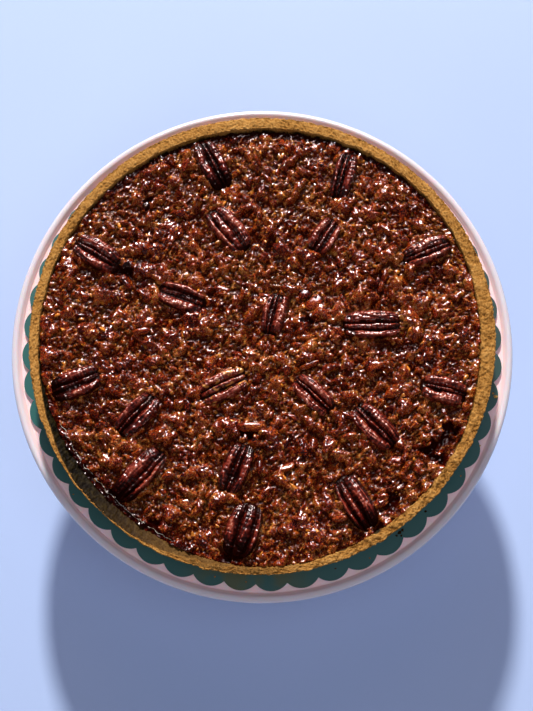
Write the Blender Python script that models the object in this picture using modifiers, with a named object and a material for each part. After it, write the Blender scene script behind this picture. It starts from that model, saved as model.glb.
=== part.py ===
"""Pecan pie on a scalloped card board, on a footed milk-glass cake stand.

Metres, +Z up.  The origin is the middle of the stand's foot, on the table.
The pie is a crumbly biscuit crust, one filling, and nineteen pecan halves
pressed into it, each in a pocket of its own.
"""

import math

import bmesh
import bpy
from mathutils import Matrix, Vector, noise

MM = 0.001
GAP = 0.3 * MM                      # air left between two pieces that touch

# Cake stand: one piece of glass, turned about +Z
PLATE_TOP = 90 * MM                 # table to the flat of the plate
PLATE_RADIUS = 133 * MM
PLATE_THICKNESS = 5 * MM
FLAT_RADIUS = 128 * MM              # the flat ends where the rolled lip starts
LIP_HEIGHT = 2.3 * MM
STEM_RADIUS = 17 * MM               # at the waist
WAIST_HEIGHT = 56 * MM
SHOULDER_RADIUS = 46 * MM           # where the stem spreads into the plate
FOOT_RADIUS = 66 * MM
FOOT_EDGE = 4 * MM                  # thickness of the foot at its rim
FOOT_RING_WIDTH = 8.5 * MM
FOOT_RECESS = 2.5 * MM
STAND_STEPS = 48
FLARE_STEPS = 4                     # points on each flare of the stem

# Cake board: card, cut to a ring of equal scallops
BOARD_RADIUS = 127 * MM             # over the scallops
BOARD_THICKNESS = 1.6 * MM
SCALLOPS = 48
SCALLOP_DEPTH = 3.6 * MM
SCALLOP_TURN = math.radians(6)      # angle of the first notch between scallops
SCALLOP_STEPS = 4

# Crust: a cup with a flat, crumb-cut rim of uneven width
CRUST_RADIUS = 119.3 * MM           # at the rim, on average
CRUST_SHIFT = 0.5 * MM              # the ring lies this far towards the back
CRUST_BULGE = 0.9 * MM              # pressed out here
CRUST_FLAT = 1.1 * MM               # pressed in here
CRUST_FOOT_RADIUS = 117 * MM
CRUST_HEIGHT = 21.5 * MM
CRUST_FLOOR = 4 * MM                # thickness under the filling
CAVITY_FOOT_RADIUS = 104 * MM
RIM_WIDTH = 5 * MM
RIM_THICKER = 3 * MM                # added at the right
RIM_FAR = 1.4 * MM                  # added at the back
RIM_THINNER = 3.6 * MM              # taken off at the lower left
RIM_FRONT = 1.4 * MM                # taken off at the front
WALL_LEAN = 0.6 * MM                # how far the wall leans in, rim to filling
RIM_DROP = 2 * MM                   # filling below the rim
CRUST_STEPS = 72
BARE_WALL = 5 * MM                  # the wall leans in this much more at its thin side
BARE_DROP = 2.6 * MM                # and the filling is this much lower there
FAR_DROP = 1 * MM                   # the filling is a little lower at the back too
BULGE_SIDE = math.radians(20)
FLAT_SIDE = math.radians(312)
THICK_SIDE = math.radians(2)
FAR_SIDE = math.radians(100)
THIN_SIDE = math.radians(226)
FRONT_SIDE = math.radians(270)

# Filling: chopped nuts set in syrup
FILLING_CELLS = 23
LUMP_SIZE = 11 * MM
LUMP_HEIGHT = 1.5 * MM

# Pecan halves: place of the middle, turn from +X, length and width
PECANS = [
    (-26.0, 93.5, -62.5, 29, 14),
    (43.0, 87.5, 74, 27, 12),
    (-17.5, 58.0, -51, 29, 15),
    (32.5, 54.5, 57, 21, 13),
    (-85.5, 45.0, -31, 27, 15),
    (85.5, 46.5, 22, 27, 12.5),
    (-41.5, 21.5, -20, 26, 13.5),
    (6.5, 13.0, 75, 23, 12.5),
    (56.5, 7.5, 1, 30, 15),
    (-94.5, -23.0, 22, 27, 14.5),
    (-19.5, -24.5, 25, 27, 14),
    (26.0, -29.0, -43, 25, 13),
    (92.0, -26.5, -14, 24, 14),
    (-63.0, -39.0, 47, 27, 13.5),
    (57.0, -45.0, -45, 28, 14.5),
    (-61.0, -69.0, 47, 33, 14.5),
    (-13.0, -66.0, 68, 27, 14),
    (47.0, -83.0, -60, 30, 14.5),
    (-9.5, -96.5, 72, 28, 17),
]
PECAN_RISE = 5.2 * MM               # crest above the filling
PECAN_SINK = 3 * MM                 # flat underside below the filling
PECAN_RINGS = 8
PECAN_BLUNTNESS = 2.6               # 2 would be an ellipse in plan
# Cross-section, as shares of half the width and of the rise (or of the sink):
# side, shoulder, lobe, groove, then the ridge in the middle; mirrored.
PECAN_HALF_TOP = [(1.0, 0.0), (0.9, 0.58), (0.58, 1.0), (0.27, 0.42)]
PECAN_RIDGE = (0.0, 0.86)
PECAN_UNDERSIDE = [(-0.72, -0.9), (0.0, -1.0), (0.72, -0.9)]
PECAN_ROLL = math.radians(5)        # most that a half leans to one side

BOARD_BOTTOM = PLATE_TOP + GAP
CRUST_BOTTOM = BOARD_BOTTOM + BOARD_THICKNESS + GAP
RIM_TOP = CRUST_BOTTOM + CRUST_HEIGHT
CAVITY_FLOOR = CRUST_BOTTOM + CRUST_FLOOR


def clear_scene():
    for thing in list(bpy.data.objects):
        bpy.data.objects.remove(thing)


def new_collection(name):
    group = bpy.data.collections.new(name)
    bpy.context.scene.collection.children.link(group)
    return group


def new_material(name, colour, roughness, coat=0.0, transmission=0.0):
    material = bpy.data.materials.new(name)
    material.use_nodes = True
    shader = material.node_tree.nodes["Principled BSDF"]
    shader.inputs["Base Color"].default_value = (*colour, 1)
    shader.inputs["Roughness"].default_value = roughness
    shader.inputs["Metallic"].default_value = 0
    shader.inputs["Coat Weight"].default_value = coat
    shader.inputs["Transmission Weight"].default_value = transmission
    material.diffuse_color = (*colour, 1)
    return material


def add_piece(name, mesh, material, group, crease=math.radians(40)):
    mesh.materials.clear()
    mesh.materials.append(material)
    mesh.shade_smooth()
    mesh.set_sharp_from_angle(angle=crease)
    piece = bpy.data.objects.new(name, mesh)
    group.objects.link(piece)
    return piece


def evaluated_mesh(source):
    """The mesh that an object's modifiers or curve settings give."""
    depsgraph = bpy.context.evaluated_depsgraph_get()
    depsgraph.update()
    return bpy.data.meshes.new_from_object(source.evaluated_get(depsgraph), depsgraph=depsgraph)


def turned_mesh(name, profile, steps):
    """Turns a profile of (radius, height) about +Z."""
    outline = bpy.data.meshes.new(name)
    edges = [(index, index + 1) for index in range(len(profile) - 1)]
    outline.from_pydata([(radius, 0, height) for radius, height in profile], edges, [])
    blank = bpy.data.objects.new(name, outline)
    bpy.context.scene.collection.objects.link(blank)
    screw = blank.modifiers.new("Turn", "SCREW")
    screw.axis = "Z"
    screw.angle = math.tau
    screw.steps = steps
    screw.render_steps = steps
    screw.use_merge_vertices = True
    screw.merge_threshold = 0.00001
    mesh = evaluated_mesh(blank)
    bpy.data.objects.remove(blank)
    return mesh


def moulded_mesh(name, meridians, rings, place):
    """A sphere whose vertices go where place(meridian, ring) says, pole to pole."""
    shape = bmesh.new()
    bmesh.ops.create_uvsphere(shape, u_segments=meridians, v_segments=rings, radius=1)
    for vertex in shape.verts:
        polar = math.acos(max(-1.0, min(1.0, vertex.co.z)))
        around = math.atan2(vertex.co.y, vertex.co.x)
        ring = round(polar * rings / math.pi)
        meridian = round(around * meridians / math.tau) % meridians
        vertex.co = place(meridian, ring)
    mesh = bpy.data.meshes.new(name)
    shape.to_mesh(mesh)
    shape.free()
    return mesh


def swell(angle, middle, spread_degrees):
    """1 at the middle angle, falling to 0 on both sides over the spread."""
    away = math.degrees(math.remainder(angle - middle, math.tau))
    return math.exp(-((away / spread_degrees) ** 2))


def crust_radius(angle):
    """Outside of the rim: the ring isn't quite round."""
    bulge = CRUST_BULGE * swell(angle, BULGE_SIDE, 32)
    flat = CRUST_FLAT * swell(angle, FLAT_SIDE, 32)
    return CRUST_RADIUS + CRUST_SHIFT * math.sin(angle) + bulge - flat


def rim_width(angle):
    wider = RIM_THICKER * swell(angle, THICK_SIDE, 28) + RIM_FAR * swell(angle, FAR_SIDE, 50)
    narrower = RIM_THINNER * swell(angle, THIN_SIDE, 24) + RIM_FRONT * swell(angle, FRONT_SIDE, 22)
    return RIM_WIDTH + wider - narrower


def wall_radius(angle):
    """Inside of the crust's wall, level with the filling."""
    bare_wall = BARE_WALL * swell(angle, THIN_SIDE, 26)
    return crust_radius(angle) - rim_width(angle) - WALL_LEAN - bare_wall


def filling_drop(angle):
    """How far the filling's edge lies below the rim."""
    return RIM_DROP + BARE_DROP * swell(angle, THIN_SIDE, 28) + FAR_DROP * swell(angle, FAR_SIDE, 55)


def crumb(angle, height, size):
    """A small uneven offset for the crust's crumbly faces."""
    spot = Vector((math.cos(angle), math.sin(angle), height / (20 * MM)))
    return size * noise.noise(spot * 4)


def flare(start, end, wide_radius, curl):
    """Profile points from one height to another; the stem widens away from its waist."""
    points = []
    for step in range(FLARE_STEPS):
        height = start + (end - start) * step / (FLARE_STEPS - 1)
        wide_end = start if abs(start - WAIST_HEIGHT) > abs(end - WAIST_HEIGHT) else end
        away = abs(height - WAIST_HEIGHT) / abs(wide_end - WAIST_HEIGHT)
        points.append((STEM_RADIUS + (wide_radius - STEM_RADIUS) * away ** curl, height))
    return points


def make_stand(group, material):
    under_plate = PLATE_TOP - 1.5 * PLATE_THICKNESS
    ring_outer = FOOT_RADIUS - 1 * MM
    ring_inner = ring_outer - FOOT_RING_WIDTH
    lip = [
        (FLAT_RADIUS, PLATE_TOP),
        (FLAT_RADIUS + 1.6 * MM, PLATE_TOP + 0.8 * LIP_HEIGHT),
        (FLAT_RADIUS + 3.4 * MM, PLATE_TOP + LIP_HEIGHT),
        (PLATE_RADIUS, PLATE_TOP + 0.3 * LIP_HEIGHT),
        (PLATE_RADIUS, PLATE_TOP - 2.2 * MM),
        (PLATE_RADIUS - 4 * MM, PLATE_TOP - PLATE_THICKNESS),
    ]
    upper = flare(under_plate, WAIST_HEIGHT, SHOULDER_RADIUS, 3)
    lower = flare(WAIST_HEIGHT, FOOT_EDGE, FOOT_RADIUS, 2.2)
    foot = [(ring_outer, 0), (ring_inner, 0), (ring_inner - 2.5 * MM, FOOT_RECESS)]
    profile = [(0, PLATE_TOP)] + lip + upper + lower[1:] + foot + [(0, FOOT_RECESS)]
    mesh = turned_mesh("cake_stand", profile, STAND_STEPS)
    return add_piece("cake_stand", mesh, material, group)


def scallop_outline():
    """Points round the board: each scallop is one arc between two notches."""
    notch_radius = BOARD_RADIUS - SCALLOP_DEPTH
    half_pitch = math.pi / SCALLOPS
    half_chord = notch_radius * math.sin(half_pitch)
    rise = BOARD_RADIUS - notch_radius * math.cos(half_pitch)
    arc_radius = (half_chord ** 2 + rise ** 2) / (2 * rise)
    arc_centre = BOARD_RADIUS - arc_radius
    half_arc = math.atan2(half_chord, arc_radius - rise)
    points = []
    for scallop in range(SCALLOPS):
        middle = SCALLOP_TURN + (2 * scallop + 1) * half_pitch
        turn = Matrix.Rotation(middle, 3, "Z")
        for step in range(SCALLOP_STEPS):
            sweep = half_arc * (2 * step / SCALLOP_STEPS - 1)
            along = arc_centre + arc_radius * math.cos(sweep)
            points.append(turn @ Vector((along, arc_radius * math.sin(sweep), 0)))
    return points


def make_board(group, material):
    points = scallop_outline()
    curve = bpy.data.curves.new("cake_board", "CURVE")
    curve.dimensions = "2D"
    curve.fill_mode = "BOTH"
    curve.extrude = BOARD_THICKNESS / 2
    spline = curve.splines.new("POLY")
    spline.points.add(len(points) - 1)
    for spot, point in zip(spline.points, points):
        spot.co = (*point, 1)
    spline.use_cyclic_u = True
    blank = bpy.data.objects.new("cake_board", curve)
    bpy.context.scene.collection.objects.link(blank)
    mesh = evaluated_mesh(blank)
    bpy.data.objects.remove(blank)
    shape = bmesh.new()
    shape.from_mesh(mesh)
    bmesh.ops.remove_doubles(shape, verts=shape.verts, dist=0.00001)
    bmesh.ops.translate(shape, verts=shape.verts, vec=(0, 0, BOARD_BOTTOM + BOARD_THICKNESS / 2))
    bmesh.ops.recalc_face_normals(shape, faces=shape.faces)
    shape.to_mesh(mesh)
    shape.free()
    return add_piece("cake_board", mesh, material, group)


def make_crust(group, material):
    def place(meridian, ring):
        angle = math.tau * meridian / CRUST_STEPS
        rim = rim_width(angle)
        outside = crust_radius(angle)
        edge = outside + crumb(angle, 0, 0.25 * MM)
        # From the middle of the cavity's floor, up the wall, over the rim and down.
        rings = [
            (0, CAVITY_FLOOR),
            (CAVITY_FOOT_RADIUS, CAVITY_FLOOR),
            (wall_radius(angle), RIM_TOP - filling_drop(angle)),
            (outside - rim, RIM_TOP - 0.5 * MM),
            (outside - 0.5 * rim, RIM_TOP + crumb(angle, 1, 0.4 * MM) - 0.2 * MM),
            (edge - 0.4 * MM, RIM_TOP - 0.6 * MM),
            (edge - 0.5 * MM, CRUST_BOTTOM + 0.5 * CRUST_HEIGHT),
            (CRUST_FOOT_RADIUS, CRUST_BOTTOM + 0.8 * MM),
            (CRUST_FOOT_RADIUS - 1 * MM, CRUST_BOTTOM),
            (0, CRUST_BOTTOM),
        ]
        radius, height = rings[ring]
        return (radius * math.cos(angle), radius * math.sin(angle), height)

    mesh = moulded_mesh("crust", CRUST_STEPS, 9, place)
    return add_piece("crust", mesh, material, group)


def filling_level(spot):
    """Height of the filling's surface before its lumps."""
    angle = math.atan2(spot.y, spot.x)
    outward = min(1.0, spot.length / wall_radius(angle))
    sag = (filling_drop(angle) - RIM_DROP) * outward ** 6
    return RIM_TOP - RIM_DROP - sag


def lump(spot, outward):
    """Height of the chopped nuts under the syrup, fading to nothing at the wall."""
    wave = noise.noise(Vector((spot.x, spot.y, 0)) / LUMP_SIZE)
    return LUMP_HEIGHT * wave * (1 - outward ** 8)


def make_filling(group, material):
    clearance = 0.5 * MM                # the crust's wall is faceted, so more than GAP
    shape = bmesh.new()
    bmesh.ops.create_grid(shape, x_segments=FILLING_CELLS, y_segments=FILLING_CELLS, size=1)
    for vertex in shape.verts:
        across, along = vertex.co.x, vertex.co.y
        # The square grid is rounded out to a disc, edges to the circle.
        disc = Vector((across * math.sqrt(1 - along ** 2 / 2), along * math.sqrt(1 - across ** 2 / 2), 0))
        angle = math.atan2(disc.y, disc.x)
        spot = disc * (wall_radius(angle) - clearance)
        vertex.co = (spot.x, spot.y, filling_level(spot) + lump(spot, disc.length))
    rim = [edge for edge in shape.edges if edge.is_boundary]
    walls = bmesh.ops.extrude_edge_only(shape, edges=rim)["geom"]
    foot = [item for item in walls if isinstance(item, bmesh.types.BMVert)]
    for vertex in foot:
        angle = math.atan2(vertex.co.y, vertex.co.x)
        radius = CAVITY_FOOT_RADIUS - clearance
        vertex.co = (radius * math.cos(angle), radius * math.sin(angle), CAVITY_FLOOR + GAP)
    lowest = [edge for edge in shape.edges if edge.is_boundary]
    bmesh.ops.contextual_create(shape, geom=lowest)
    bmesh.ops.recalc_face_normals(shape, faces=shape.faces)
    mesh = bpy.data.meshes.new("filling")
    shape.to_mesh(mesh)
    shape.free()
    return add_piece("filling", mesh, material, group)


def pecan_plan(along):
    """Half the width at a place along the nut, both as shares from -1 to 1."""
    return math.sqrt(max(0.0, 1 - abs(along) ** PECAN_BLUNTNESS))


def pecan_section():
    mirrored = [(-across, up) for across, up in reversed(PECAN_HALF_TOP)]
    return PECAN_HALF_TOP + [PECAN_RIDGE] + mirrored + PECAN_UNDERSIDE


def pecan_mesh(name, length, width):
    section = pecan_section()

    def place(meridian, ring):
        along = math.cos(math.pi * ring / PECAN_RINGS)
        across, up = section[meridian]
        share = pecan_plan(along)
        height = up * share * (PECAN_RISE if up > 0 else PECAN_SINK)
        return (along * length / 2, across * share * width / 2, height)

    return moulded_mesh(name, len(section), PECAN_RINGS, place)


def pocket_mesh(name, length, width):
    """The hole that one pecan half lies in: its own plan, a gap wider all round."""
    top = 3 * PECAN_RISE
    floor = -PECAN_SINK - GAP
    shape = bmesh.new()
    bmesh.ops.create_cone(shape, cap_ends=True, segments=2 * PECAN_RINGS, radius1=1, radius2=1, depth=2)
    for vertex in shape.verts:
        along = max(-1.0, min(1.0, vertex.co.x))
        side = math.copysign(pecan_plan(along), vertex.co.y)
        height = top if vertex.co.z > 0 else floor
        vertex.co = (along * (length / 2 + 1.5 * GAP), side * (width / 2 + 1.5 * GAP), height)
    mesh = bpy.data.meshes.new(name)
    shape.to_mesh(mesh)
    shape.free()
    return mesh


def make_pecans(group, cutters, material, filling):
    for index, (x, y, turn, length, width) in enumerate(PECANS):
        name = f"pecan_{index + 1:02d}"
        seat = Vector((x * MM, y * MM, 0))
        seat.z = filling_level(seat.xy)
        roll = PECAN_ROLL * math.sin(2.4 * index)
        lay = Matrix.Rotation(math.radians(turn), 4, "Z") @ Matrix.Rotation(roll, 4, "X")
        lay = Matrix.Translation(seat) @ lay
        half = add_piece(name, pecan_mesh(name, length * MM, width * MM), material, group)
        half.matrix_world = lay
        pocket = bpy.data.objects.new(name + "_pocket", pocket_mesh(name, length * MM, width * MM))
        pocket.matrix_world = lay
        pocket.hide_render = True
        pocket.display_type = "WIRE"
        cutters.objects.link(pocket)
    carve = filling.modifiers.new("Pockets", "BOOLEAN")
    carve.operation = "DIFFERENCE"
    carve.operand_type = "COLLECTION"
    carve.collection = cutters
    carve.solver = "EXACT"


def main():
    clear_scene()
    pie = new_collection("pecan_pie")
    cutters = new_collection("cutters")
    glass = new_material("pink_milk_glass", (0.62, 0.42, 0.44), 0.08, coat=0.5)
    card = new_material("teal_card", (0.012, 0.07, 0.068), 0.35)
    biscuit = new_material("golden_biscuit", (0.60, 0.31, 0.09), 0.85)
    syrup = new_material("nut_syrup", (0.16, 0.045, 0.012), 0.3, coat=0.6)
    nut = new_material("roasted_pecan", (0.10, 0.022, 0.012), 0.4, coat=0.3)
    make_stand(pie, glass)
    make_board(pie, card)
    make_crust(pie, biscuit)
    filling = make_filling(pie, syrup)
    make_pecans(pie, cutters, nut, filling)


main()
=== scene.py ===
# %% [markdown]
# # A pecan pie on its cake stand
#
# The object is a whole pecan pie: a crumbly biscuit crust, a filling of chopped nuts in
# dark syrup, and nineteen pecan halves on top. It lies on a scalloped card board, on a
# footed stand of pink milk glass. A plain model of every piece has been made already,
# at its real size. This file loads it as a fixed frame and dresses it: each piece gets
# its true surface, in the place that the frame gives.

# %% Load the frame
import bpy
import bmesh
import math
import numpy as np
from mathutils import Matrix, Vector, noise
from mathutils.bvhtree import BVHTree


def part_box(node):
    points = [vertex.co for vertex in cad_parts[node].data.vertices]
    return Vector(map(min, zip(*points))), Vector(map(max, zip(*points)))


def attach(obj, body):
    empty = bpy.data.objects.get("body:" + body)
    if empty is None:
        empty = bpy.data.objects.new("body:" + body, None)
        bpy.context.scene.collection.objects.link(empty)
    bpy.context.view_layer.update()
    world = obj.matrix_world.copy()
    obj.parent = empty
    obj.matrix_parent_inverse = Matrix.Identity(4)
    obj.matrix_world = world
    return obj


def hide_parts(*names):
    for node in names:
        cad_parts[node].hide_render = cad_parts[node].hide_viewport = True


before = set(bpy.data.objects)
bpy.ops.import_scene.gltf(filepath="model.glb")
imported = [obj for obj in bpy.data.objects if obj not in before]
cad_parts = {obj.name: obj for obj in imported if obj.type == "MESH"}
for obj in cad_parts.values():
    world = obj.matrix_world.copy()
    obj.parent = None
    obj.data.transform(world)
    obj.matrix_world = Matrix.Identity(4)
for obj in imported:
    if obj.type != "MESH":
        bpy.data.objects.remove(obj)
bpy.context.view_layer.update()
MM = 0.001

# %% [markdown]
# Some sizes below are read from the frame's boxes: the plate's radius and top, the
# board's two heights and the crust's bottom. The stand is turned and the crust is round,
# so one radius and two heights place each of them. The numbers that are written out are
# the radii of the board and the crust, the heights of the rim and the lip, and small
# forms that a box can't tell, such as the width of the rim.

# %% Sizes from the frame
plate_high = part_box("cake_stand")[1]
board_low, board_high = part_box("cake_board")
crust_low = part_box("crust")[0]
PLATE_RADIUS = plate_high.x
LIP_HEIGHT = 2.3 * MM
PLATE_TOP = plate_high.z - LIP_HEIGHT
BOARD_RADIUS = 127 * MM
CRUST_RADIUS = 119.3 * MM
CRUST_BOTTOM = crust_low.z
RIM_TOP = CRUST_BOTTOM + 21.5 * MM
print("plate top", round(PLATE_TOP / MM, 1), "rim top", round(RIM_TOP / MM, 1))

# %% [markdown]
# ## Camera and stage
#
# The pie is seen almost from straight above, from a little in front of it. The camera
# stands over the near edge of the plate and leans ten degrees forward. The floor is a
# plain pale sheet. One soft lamp behind the pie makes the glints on the syrup and throws
# the shadow forward, and large dim lamps and the pale sky fill the rest. A pale card behind
# the pie is seen only in reflections, where it widens the glints.

# %% Camera
CAMERA_LEAN = math.radians(10.38)
CAMERA_PLACE = Vector((2.3, -106.8, 557.9)) * MM + Vector((0, 0, PLATE_TOP))
lens = bpy.data.cameras.new("camera")
lens.lens = 54.08
lens.sensor_width = 36
camera = bpy.data.objects.new("camera", lens)
camera.location = CAMERA_PLACE
camera.rotation_euler = (CAMERA_LEAN, 0, 0)
bpy.context.scene.collection.objects.link(camera)
bpy.context.scene.camera = camera

# %% Floor and lamps
def add_lamp(name, place, aim, size, power, colour):
    lamp = bpy.data.lights.new(name, "AREA")
    lamp.shape = "DISK"
    lamp.size = size
    lamp.energy = power
    lamp.color = colour
    holder = bpy.data.objects.new(name, lamp)
    holder.location = place
    holder.rotation_euler = (Vector(aim) - Vector(place)).to_track_quat("-Z", "Y").to_euler()
    bpy.context.scene.collection.objects.link(holder)
    return holder


PIE_MIDDLE = (0, 0, PLATE_TOP)
add_lamp("key lamp", (-0.22, 2.75, 1.87), PIE_MIDDLE, 0.25, 222, (1.0, 0.945, 0.87))
glint_card = add_lamp("glint card", (0.05, 2.3, 2.15), PIE_MIDDLE, 1.9, 150, (1.0, 0.80, 0.82))
glint_card.visible_diffuse = False
front_fill = add_lamp("front fill", (-0.8, -2.0, 1.5), PIE_MIDDLE, 1.2, 6, (1.0, 0.96, 0.93))
overhead = add_lamp("overhead fill", (0.3, -0.5, 2.6), PIE_MIDDLE, 2.4, 32, (0.84, 0.86, 1.0))
overhead.visible_glossy = False
front_fill.visible_glossy = False
sky = bpy.data.worlds.new("sky")
sky.use_nodes = True
sky_nodes, sky_links = sky.node_tree.nodes, sky.node_tree.links
sky_place = sky_nodes.new("ShaderNodeSeparateXYZ")
sky_links.new(sky_nodes.new("ShaderNodeTexCoord").outputs["Generated"], sky_place.inputs[0])
sky_fade = sky_nodes.new("ShaderNodeMapRange")
sky_links.new(sky_place.outputs["Z"], sky_fade.inputs["Value"])
for socket, number in (("From Min", 0.35), ("From Max", 0.85), ("To Min", 0.10), ("To Max", 0.02)):
    sky_fade.inputs[socket].default_value = number
sky_seen = sky_nodes.new("ShaderNodeMix")
sky_links.new(sky_nodes.new("ShaderNodeLightPath").outputs["Is Camera Ray"], sky_seen.inputs["Factor"])
sky_links.new(sky_fade.outputs[0], sky_seen.inputs["A"])
sky_seen.inputs["B"].default_value = 0.8
sky_links.new(sky_seen.outputs[0], sky_nodes["Background"].inputs["Strength"])
sky_nodes["Background"].inputs["Color"].default_value = (0.90, 0.89, 0.98, 1)
bpy.context.scene.world = sky
bpy.context.scene.view_settings.view_transform = "Standard"

floor_mesh = bpy.data.meshes.new("floor")
floor_shape = bmesh.new()
bmesh.ops.create_grid(floor_shape, x_segments=2, y_segments=2, size=3)
floor_shape.to_mesh(floor_mesh)
floor_shape.free()
floor = bpy.data.objects.new("floor", floor_mesh)
floor.location.z = -0.0002
bpy.context.scene.collection.objects.link(floor)

# %% [markdown]
# ## Two helpers for materials
#
# A material is a small piece of arithmetic on patterns. Adding every node by hand hides
# that, so one class wraps a node's output and turns Python's operators into Math nodes:
# `1 - mask` or `dust * 0.4` then build themselves. A second class owns the node tree, and
# its one method makes any other node from its type, its settings and its sockets.

# %% Shader maths
class Value:
    """A number in a node tree: operators on it add Math nodes."""

    def __init__(self, tree, socket):
        self.tree = tree
        self.socket = socket

    def maths(self, operation, first, second, clamp=False):
        settings = {"operation": operation, "use_clamp": clamp}
        return self.tree.value("ShaderNodeMath", settings, {0: first, 1: second})

    def __add__(self, other):
        return self.maths("ADD", self, other)

    def __radd__(self, other):
        return self.maths("ADD", other, self)

    def __sub__(self, other):
        return self.maths("SUBTRACT", self, other)

    def __rsub__(self, other):
        return self.maths("SUBTRACT", other, self)

    def __mul__(self, other):
        return self.maths("MULTIPLY", self, other)

    def __rmul__(self, other):
        return self.maths("MULTIPLY", other, self)

    def __pow__(self, other):
        return self.maths("POWER", self, other)

    def clamped(self):
        return self.maths("ADD", self, 0.0, clamp=True)

    def step(self, low, high):
        """0 below low, 1 above high, and smooth in between."""
        settings = {"interpolation_type": "SMOOTHSTEP"}
        return self.tree.value("ShaderNodeMapRange", settings, {"Value": self, 1: low, 2: high}, "Result")


class Tree:
    """A node tree that is being written."""

    def __init__(self, nodes, links):
        self.nodes = nodes
        self.links = links

    def node(self, kind, settings=None, sockets=None):
        made = self.nodes.new(kind)
        for name, setting in (settings or {}).items():
            if name == "stops":
                self.set_stops(made.color_ramp, setting)
            else:
                setattr(made, name, setting)
        for name, given in (sockets or {}).items():
            self.fill(made.inputs[name], given)
        return made

    def fill(self, socket, given):
        if isinstance(given, Value):
            self.links.new(given.socket, socket)
        elif isinstance(given, bpy.types.NodeSocket):
            self.links.new(given, socket)
        elif given is not None:
            socket.default_value = given

    def value(self, kind, settings=None, sockets=None, output=0):
        return Value(self, self.node(kind, settings, sockets).outputs[output])

    def set_stops(self, ramp, stops):
        while len(ramp.elements) > 1:
            ramp.elements.remove(ramp.elements[-1])
        for index, (place, colour) in enumerate(stops):
            element = ramp.elements[0] if index == 0 else ramp.elements.new(place)
            element.position = place
            element.color = (*colour, 1)

    def ramp(self, factor, stops):
        """A colour that runs through the stops as the factor goes from 0 to 1."""
        return self.node("ShaderNodeValToRGB", {"stops": stops}, {"Fac": factor}).outputs["Color"]

    def mix(self, factor, first, second, blend="MIX"):
        """One colour laid over another."""
        made = self.node("ShaderNodeMix", {"data_type": "RGBA", "blend_type": blend}, {0: factor})
        for socket, given in ((made.inputs[6], first), (made.inputs[7], second)):
            self.fill(socket, (*given, 1) if isinstance(given, tuple) else given)
        return made.outputs[2]

    def attribute(self, name):
        return self.value("ShaderNodeAttribute", {"attribute_name": name}, None, "Fac")

    def noise(self, where, scale, detail=2.0, roughness=0.5):
        sockets = {"Vector": where, "Scale": scale, "Detail": detail, "Roughness": roughness}
        return self.value("ShaderNodeTexNoise", None, sockets, "Fac")

    def cells(self, where, scale, output="Distance"):
        return self.value("ShaderNodeTexVoronoi", None, {"Vector": where, "Scale": scale}, output)

    def bump(self, height, distance, strength=1.0, normal=None):
        sockets = {"Strength": strength, "Distance": distance, "Height": height, "Normal": normal}
        return self.node("ShaderNodeBump", None, sockets).outputs["Normal"]


def new_material(name, paint, **fixed):
    """A Principled material: fixed sockets by name, and paint(tree, where) for what varies."""
    material = bpy.data.materials.new(name)
    material.use_nodes = True
    shader = material.node_tree.nodes["Principled BSDF"]
    for socket, given in fixed.items():
        shader.inputs[socket.replace("_", " ").title().replace("Ior", "IOR")].default_value = given
    tree = Tree(material.node_tree.nodes, material.node_tree.links)
    where = tree.node("ShaderNodeTexCoord").outputs["Object"]
    for socket, given in paint(tree, where).items():
        tree.fill(shader.inputs[socket], given)
    return material


# %% Floor finish
def paint_floor(tree, where):
    drift = tree.noise(where, 3.0)
    return {"Base Color": tree.mix(drift, (0.29, 0.39, 0.63), (0.35, 0.45, 0.69))}


floor_mesh.materials.append(new_material("pale_floor", paint_floor, roughness=0.8))

# %% [markdown]
# ## Making pieces
#
# Most pieces here are skins over rows of points: a ring for the crust, a nut's
# cross-sections for a pecan. One function turns such rows into a closed mesh with its
# faces pointing out, and one gives a finished piece its place in the model.

# %% Mesh helpers
def skin_mesh(name, rows):
    """A closed mesh over rows of points, each row a loop, with a point at both ends."""
    rows = np.asarray(rows, dtype=float)
    count, around = rows.shape[:2]
    first = rows[0].mean(axis=0)
    last = rows[-1].mean(axis=0)
    points = np.vstack([rows.reshape(-1, 3), first, last])
    step = np.arange(around)
    beside = (step + 1) % around
    bands = [
        np.stack([row * around + step, row * around + beside,
                  (row + 1) * around + beside, (row + 1) * around + step], axis=1)
        for row in range(count - 1)
    ]
    start, end = count * around, count * around + 1
    quads = np.concatenate(bands)
    fans = np.concatenate([
        np.stack([np.full(around, start), beside, step], axis=1),
        np.stack([np.full(around, end), (count - 1) * around + step, (count - 1) * around + beside], axis=1),
    ])
    mesh = bpy.data.meshes.new(name)
    mesh.from_pydata(points.tolist(), [], quads.tolist() + fans.tolist())
    shape = bmesh.new()
    shape.from_mesh(mesh)
    if shape.calc_volume(signed=True) < 0:
        bmesh.ops.reverse_faces(shape, faces=shape.faces)
    shape.to_mesh(mesh)
    shape.free()
    mesh.shade_smooth()
    return mesh


def note_on_points(mesh, name, numbers):
    """Stores one number a point, for a material to read."""
    layer = mesh.attributes.new(name, "FLOAT", "POINT")
    layer.data.foreach_set("value", np.asarray(numbers, dtype=np.float32))


def add_piece(name, mesh, material, slot_name, *nodes):
    """Puts a finished piece in the scene, in place of the frame's nodes."""
    if material is not None:
        mesh.materials.clear()
        mesh.materials.append(material)
    piece = bpy.data.objects.new(name, mesh)
    bpy.context.scene.collection.objects.link(piece)
    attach(piece, "root")
    if nodes:
        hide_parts(*nodes)
    triangles = sum(len(face.vertices) - 2 for face in mesh.polygons)
    print(f"{name}: {triangles} triangles")
    return piece


def evaluated_mesh(source):
    """The plain mesh that an object's modifiers give."""
    depsgraph = bpy.context.evaluated_depsgraph_get()
    depsgraph.update()
    return bpy.data.meshes.new_from_object(
        source.evaluated_get(depsgraph), preserve_all_data_layers=True, depsgraph=depsgraph)

# %% [markdown]
# ## The glass stand
#
# Pressed milk glass: an almost flat plate with a rolled lip, on a stem that flares into a
# round foot. It is turned, so a Screw modifier on its outline makes it. The lip is drawn
# as arcs with many points, because light runs along a glass edge and shows every facet.

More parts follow.
